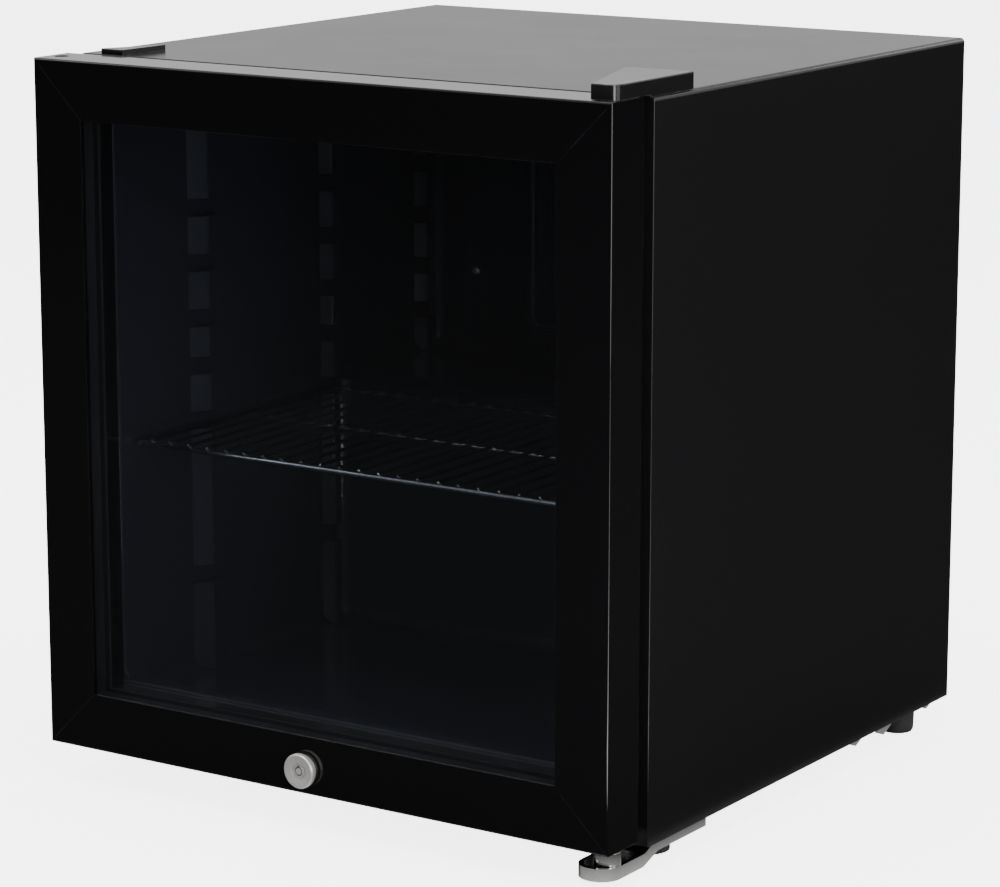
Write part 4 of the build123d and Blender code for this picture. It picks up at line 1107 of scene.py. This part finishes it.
# ------------------------------------------------------------------ control box details
@dataclass
class ControlFace(Piece):
    """The ribbed lamp lens and the dial's printed marks."""

    ribs: int = 11
    marks: int = 9
    sweep: float = 270.0
    dial_radius: float = 14.5

    def build(self) -> None:
        """Make the lens and the marks."""
        self.lens()
        self.dial_marks()

    def lens(self) -> None:
        """Make the lamp's lens with its upright ribs."""
        low, high = (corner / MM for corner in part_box("lamp_cover"))
        bm = bmesh.new()
        add_block(bm, point(low.x + 0.8, low.y, low.z), point(high.x, high.y, high.z), 1.6 * MM, 4)
        step = (high.y - low.y - 5) / (self.ribs - 1)
        for i in range(self.ribs):
            y = low.y + 2.5 + i * step
            add_bar(bm, point(low.x + 0.9, y, low.z + 3), point(low.x + 0.9, y, high.z - 3),
                    0.85 * MM, 0.4 * MM, 10)
        self.slot = "lamp_lens"
        self.place(finish_mesh(bm, "ribbed_lamp_lens"), "lamp_cover")

    def dial_marks(self) -> None:
        """Make the raised, printed ticks that the dial turns past."""
        low, high = (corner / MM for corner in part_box("thermostat_knob"))
        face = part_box("thermostat_housing")[0].x / MM
        y, z = (low.y + high.y) / 2, (low.z + high.z) / 2
        bm = bmesh.new()
        for i in range(self.marks):
            turn = Matrix.Rotation(math.radians(self.sweep * (i / (self.marks - 1) - 0.5)), 4, "X")
            long = 3.0 + 0.25 * i
            made = bmesh.ops.create_cube(
                bm, size=1.0,
                matrix=Matrix.Translation(point(face - 0.05, y, z)) @ turn
                @ Matrix.Translation(point(0, 0, self.dial_radius + long / 2))
                @ Matrix.Diagonal((*point(0.4, 0.9, long), 1.0)),
            )["verts"]
            soften(bm, ring_edges(made), 0.12 * MM, 1)
        self.slot = "dial_print"
        self.place(finish_mesh(bm, "dial_marks"))


# ------------------------------------------------------------------ studio
@dataclass
class Studio:
    """The pale floor, the soft lights and the camera."""

    eye: tuple[float, float, float] = (1.305106, -1.971420, 0.720157)
    azimuth: float = 0.587209
    dip: float = 0.212497
    lens: float = 131.5
    floor_lift: float = 4.5
    sky_lift: float = 4.6
    sky_low: float = 0.45
    sky_high: float = 0.72
    contact_near: float = 0.012
    contact_far: float = 0.075
    strip_turn: float = -117.0

    def floor(self) -> None:
        """Lay the pale floor, which glossy rays see as a painted dark grey beyond a short reach: a
        painted dark reflection.
        """
        bm = bmesh.new()
        bmesh.ops.create_grid(bm, x_segments=8, y_segments=8, size=14.0)
        ground = finish_mesh(bm, "studio_floor", recalculate=False)
        material = bpy.data.materials.new("pale_floor")
        material.use_nodes = True
        tree = material.node_tree
        shader = tree.nodes["Principled BSDF"]
        shader.inputs["Roughness"].default_value = 0.9
        shader.inputs["Specular IOR Level"].default_value = 0.1
        grain = tree.nodes.new("ShaderNodeTexNoise")
        grain.inputs["Scale"].default_value = 60.0
        tree.links.new(GROUPS.here(tree), grain.inputs["Vector"])
        tint = GROUPS.blend(tree, grain.outputs["Fac"], (0.86, 0.86, 0.86), (0.90, 0.90, 0.90))
        tree.links.new(tint, shader.inputs["Base Color"])
        # painted reflection: glossy rays longer than contact_near see this dark grey in place of
        # the pale floor, and see only it past contact_far
        painted_reflection_grey = tree.nodes.new("ShaderNodeBsdfDiffuse")
        painted_reflection_grey.inputs["Color"].default_value = (0.03, 0.03, 0.03, 1.0)
        shader.inputs["Emission Color"].default_value = (1.0, 1.0, 1.0, 1.0)
        path = tree.nodes.new("ShaderNodeLightPath")
        lift = GROUPS.math(tree, "MULTIPLY", path.outputs["Is Camera Ray"], self.floor_lift)
        tree.links.new(lift, shader.inputs["Emission Strength"])
        far = tree.nodes.new("ShaderNodeMapRange")
        far.inputs["From Min"].default_value = self.contact_near
        far.inputs["From Max"].default_value = self.contact_far
        tree.links.new(path.outputs["Ray Length"], far.inputs["Value"])
        # painted shade mask: how much of the dark grey the floor shows in reflections
        painted_reflection_mask = GROUPS.math(tree, "MULTIPLY", path.outputs["Is Glossy Ray"], far.outputs["Result"])
        GROUPS.choose(tree, painted_reflection_mask, shader, painted_reflection_grey)
        ground.data.materials.append(material)

    def sky(self) -> None:
        """Surround the scene with a soft pale glow, a little brighter behind."""
        world = bpy.data.worlds.new("soft_surround")
        bpy.context.scene.world = world
        world.use_nodes = True
        tree = world.node_tree
        back = tree.nodes["Background"]
        way = tree.nodes.new("ShaderNodeSeparateXYZ")
        tree.links.new(tree.nodes.new("ShaderNodeTexCoord").outputs["Generated"], way.inputs[0])
        ramp = tree.nodes.new("ShaderNodeMapRange")
        ramp.interpolation_type = "SMOOTHSTEP"
        ramp.inputs["From Min"].default_value = -0.7
        ramp.inputs["From Max"].default_value = 0.7
        ramp.inputs["To Min"].default_value = self.sky_low
        ramp.inputs["To Max"].default_value = self.sky_high
        tree.links.new(way.outputs["Y"], ramp.inputs["Value"])
        path = tree.nodes.new("ShaderNodeLightPath")
        seen = GROUPS.math(tree, "MULTIPLY", path.outputs["Is Camera Ray"], self.sky_lift)
        glow = GROUPS.math(tree, "ADD", ramp.outputs["Result"], seen)
        tree.links.new(glow, back.inputs["Strength"])
        back.inputs["Color"].default_value = (1.0, 1.0, 1.0, 1.0)

    def lamp(
        self, name: str, place: tuple[float, float, float], size: tuple[float, float],
        power: float, aim: tuple[float, float, float] = (0.0, 0.0, 0.25),
    ) -> None:
        """Hang one softbox.

        Args:
            name: The lamp's name.
            place: Where it hangs.
            size: Its width and height.
            power: Its power in watts.
            aim: The place it faces.
        """
        data = bpy.data.lights.new(name, "AREA")
        data.shape = "RECTANGLE"
        data.size, data.size_y = size
        data.energy = power
        lamp = bpy.data.objects.new(name, data)
        lamp.location = place
        lamp.visible_camera = False
        lamp.rotation_euler = (Vector(place) - Vector(aim)).to_track_quat("Z", "Y").to_euler()
        bpy.context.scene.collection.objects.link(lamp)

    def strip(self) -> None:
        """Lay a low strip light on the floor, which draws the line of light on upright edges."""
        self.lamp("low_strip", (0.885, -0.715, 0.012), (0.20, 1.40), 5.0)
        lamp = bpy.data.objects["low_strip"]
        lamp.rotation_euler = (math.pi, 0.0, math.radians(self.strip_turn))

    def camera(self) -> None:
        """Set the camera."""
        data = bpy.data.cameras.new("camera")
        data.lens = self.lens
        data.sensor_width = 36.0
        data.clip_end = 100.0
        camera = bpy.data.objects.new("camera", data)
        camera.location = self.eye
        camera.rotation_euler = (math.pi / 2 - self.dip, 0.0, self.azimuth)
        bpy.context.scene.collection.objects.link(camera)
        bpy.context.scene.camera = camera

    def build(self) -> None:
        """Set the whole studio."""
        self.floor()
        self.sky()
        self.lamp("overhead_softbox", (0.2, -0.3, 2.6), (2.2, 2.2), 62.0)
        self.lamp("right_softbox", (1.9, -0.35, 0.75), (0.9, 1.5), 6.0)
        self.lamp("edge_softbox", (1.35, -0.95, 0.62), (0.36, 1.2), 9.0, (0.1, -0.2, 0.3))
        self.strip()
        self.lamp("left_softbox", (-1.8, -1.3, 1.3), (0.8, 1.4), 7.0)
        self.lamp("far_left_softbox", (-1.9, 0.3, 0.75), (0.9, 1.5), 6.0)
        self.lamp("rear_softbox", (0.6, 2.3, 1.3), (0.9, 0.6), 3.0)
        self.camera()
        LOG.info("set the studio")


def main() -> None:
    """Build the fridge's looks in order and report each piece."""
    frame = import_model()
    wardrobe = Wardrobe()
    wardrobe.dress_frame(frame)
    WireShelf(wardrobe).build()
    ColdPlate(wardrobe).build()
    Fasteners(wardrobe).build()
    Gasket(wardrobe).build()
    for side in Side:
        LevellingFoot(wardrobe, body=f"foot_{side.name.lower()}", slot="foot_plastic",
                      side=side).build()
    ControlFace(wardrobe).build()
    Studio().build()


if __name__ == "__main__":
    logging.basicConfig(level=logging.INFO, format="%(message)s")
    main()
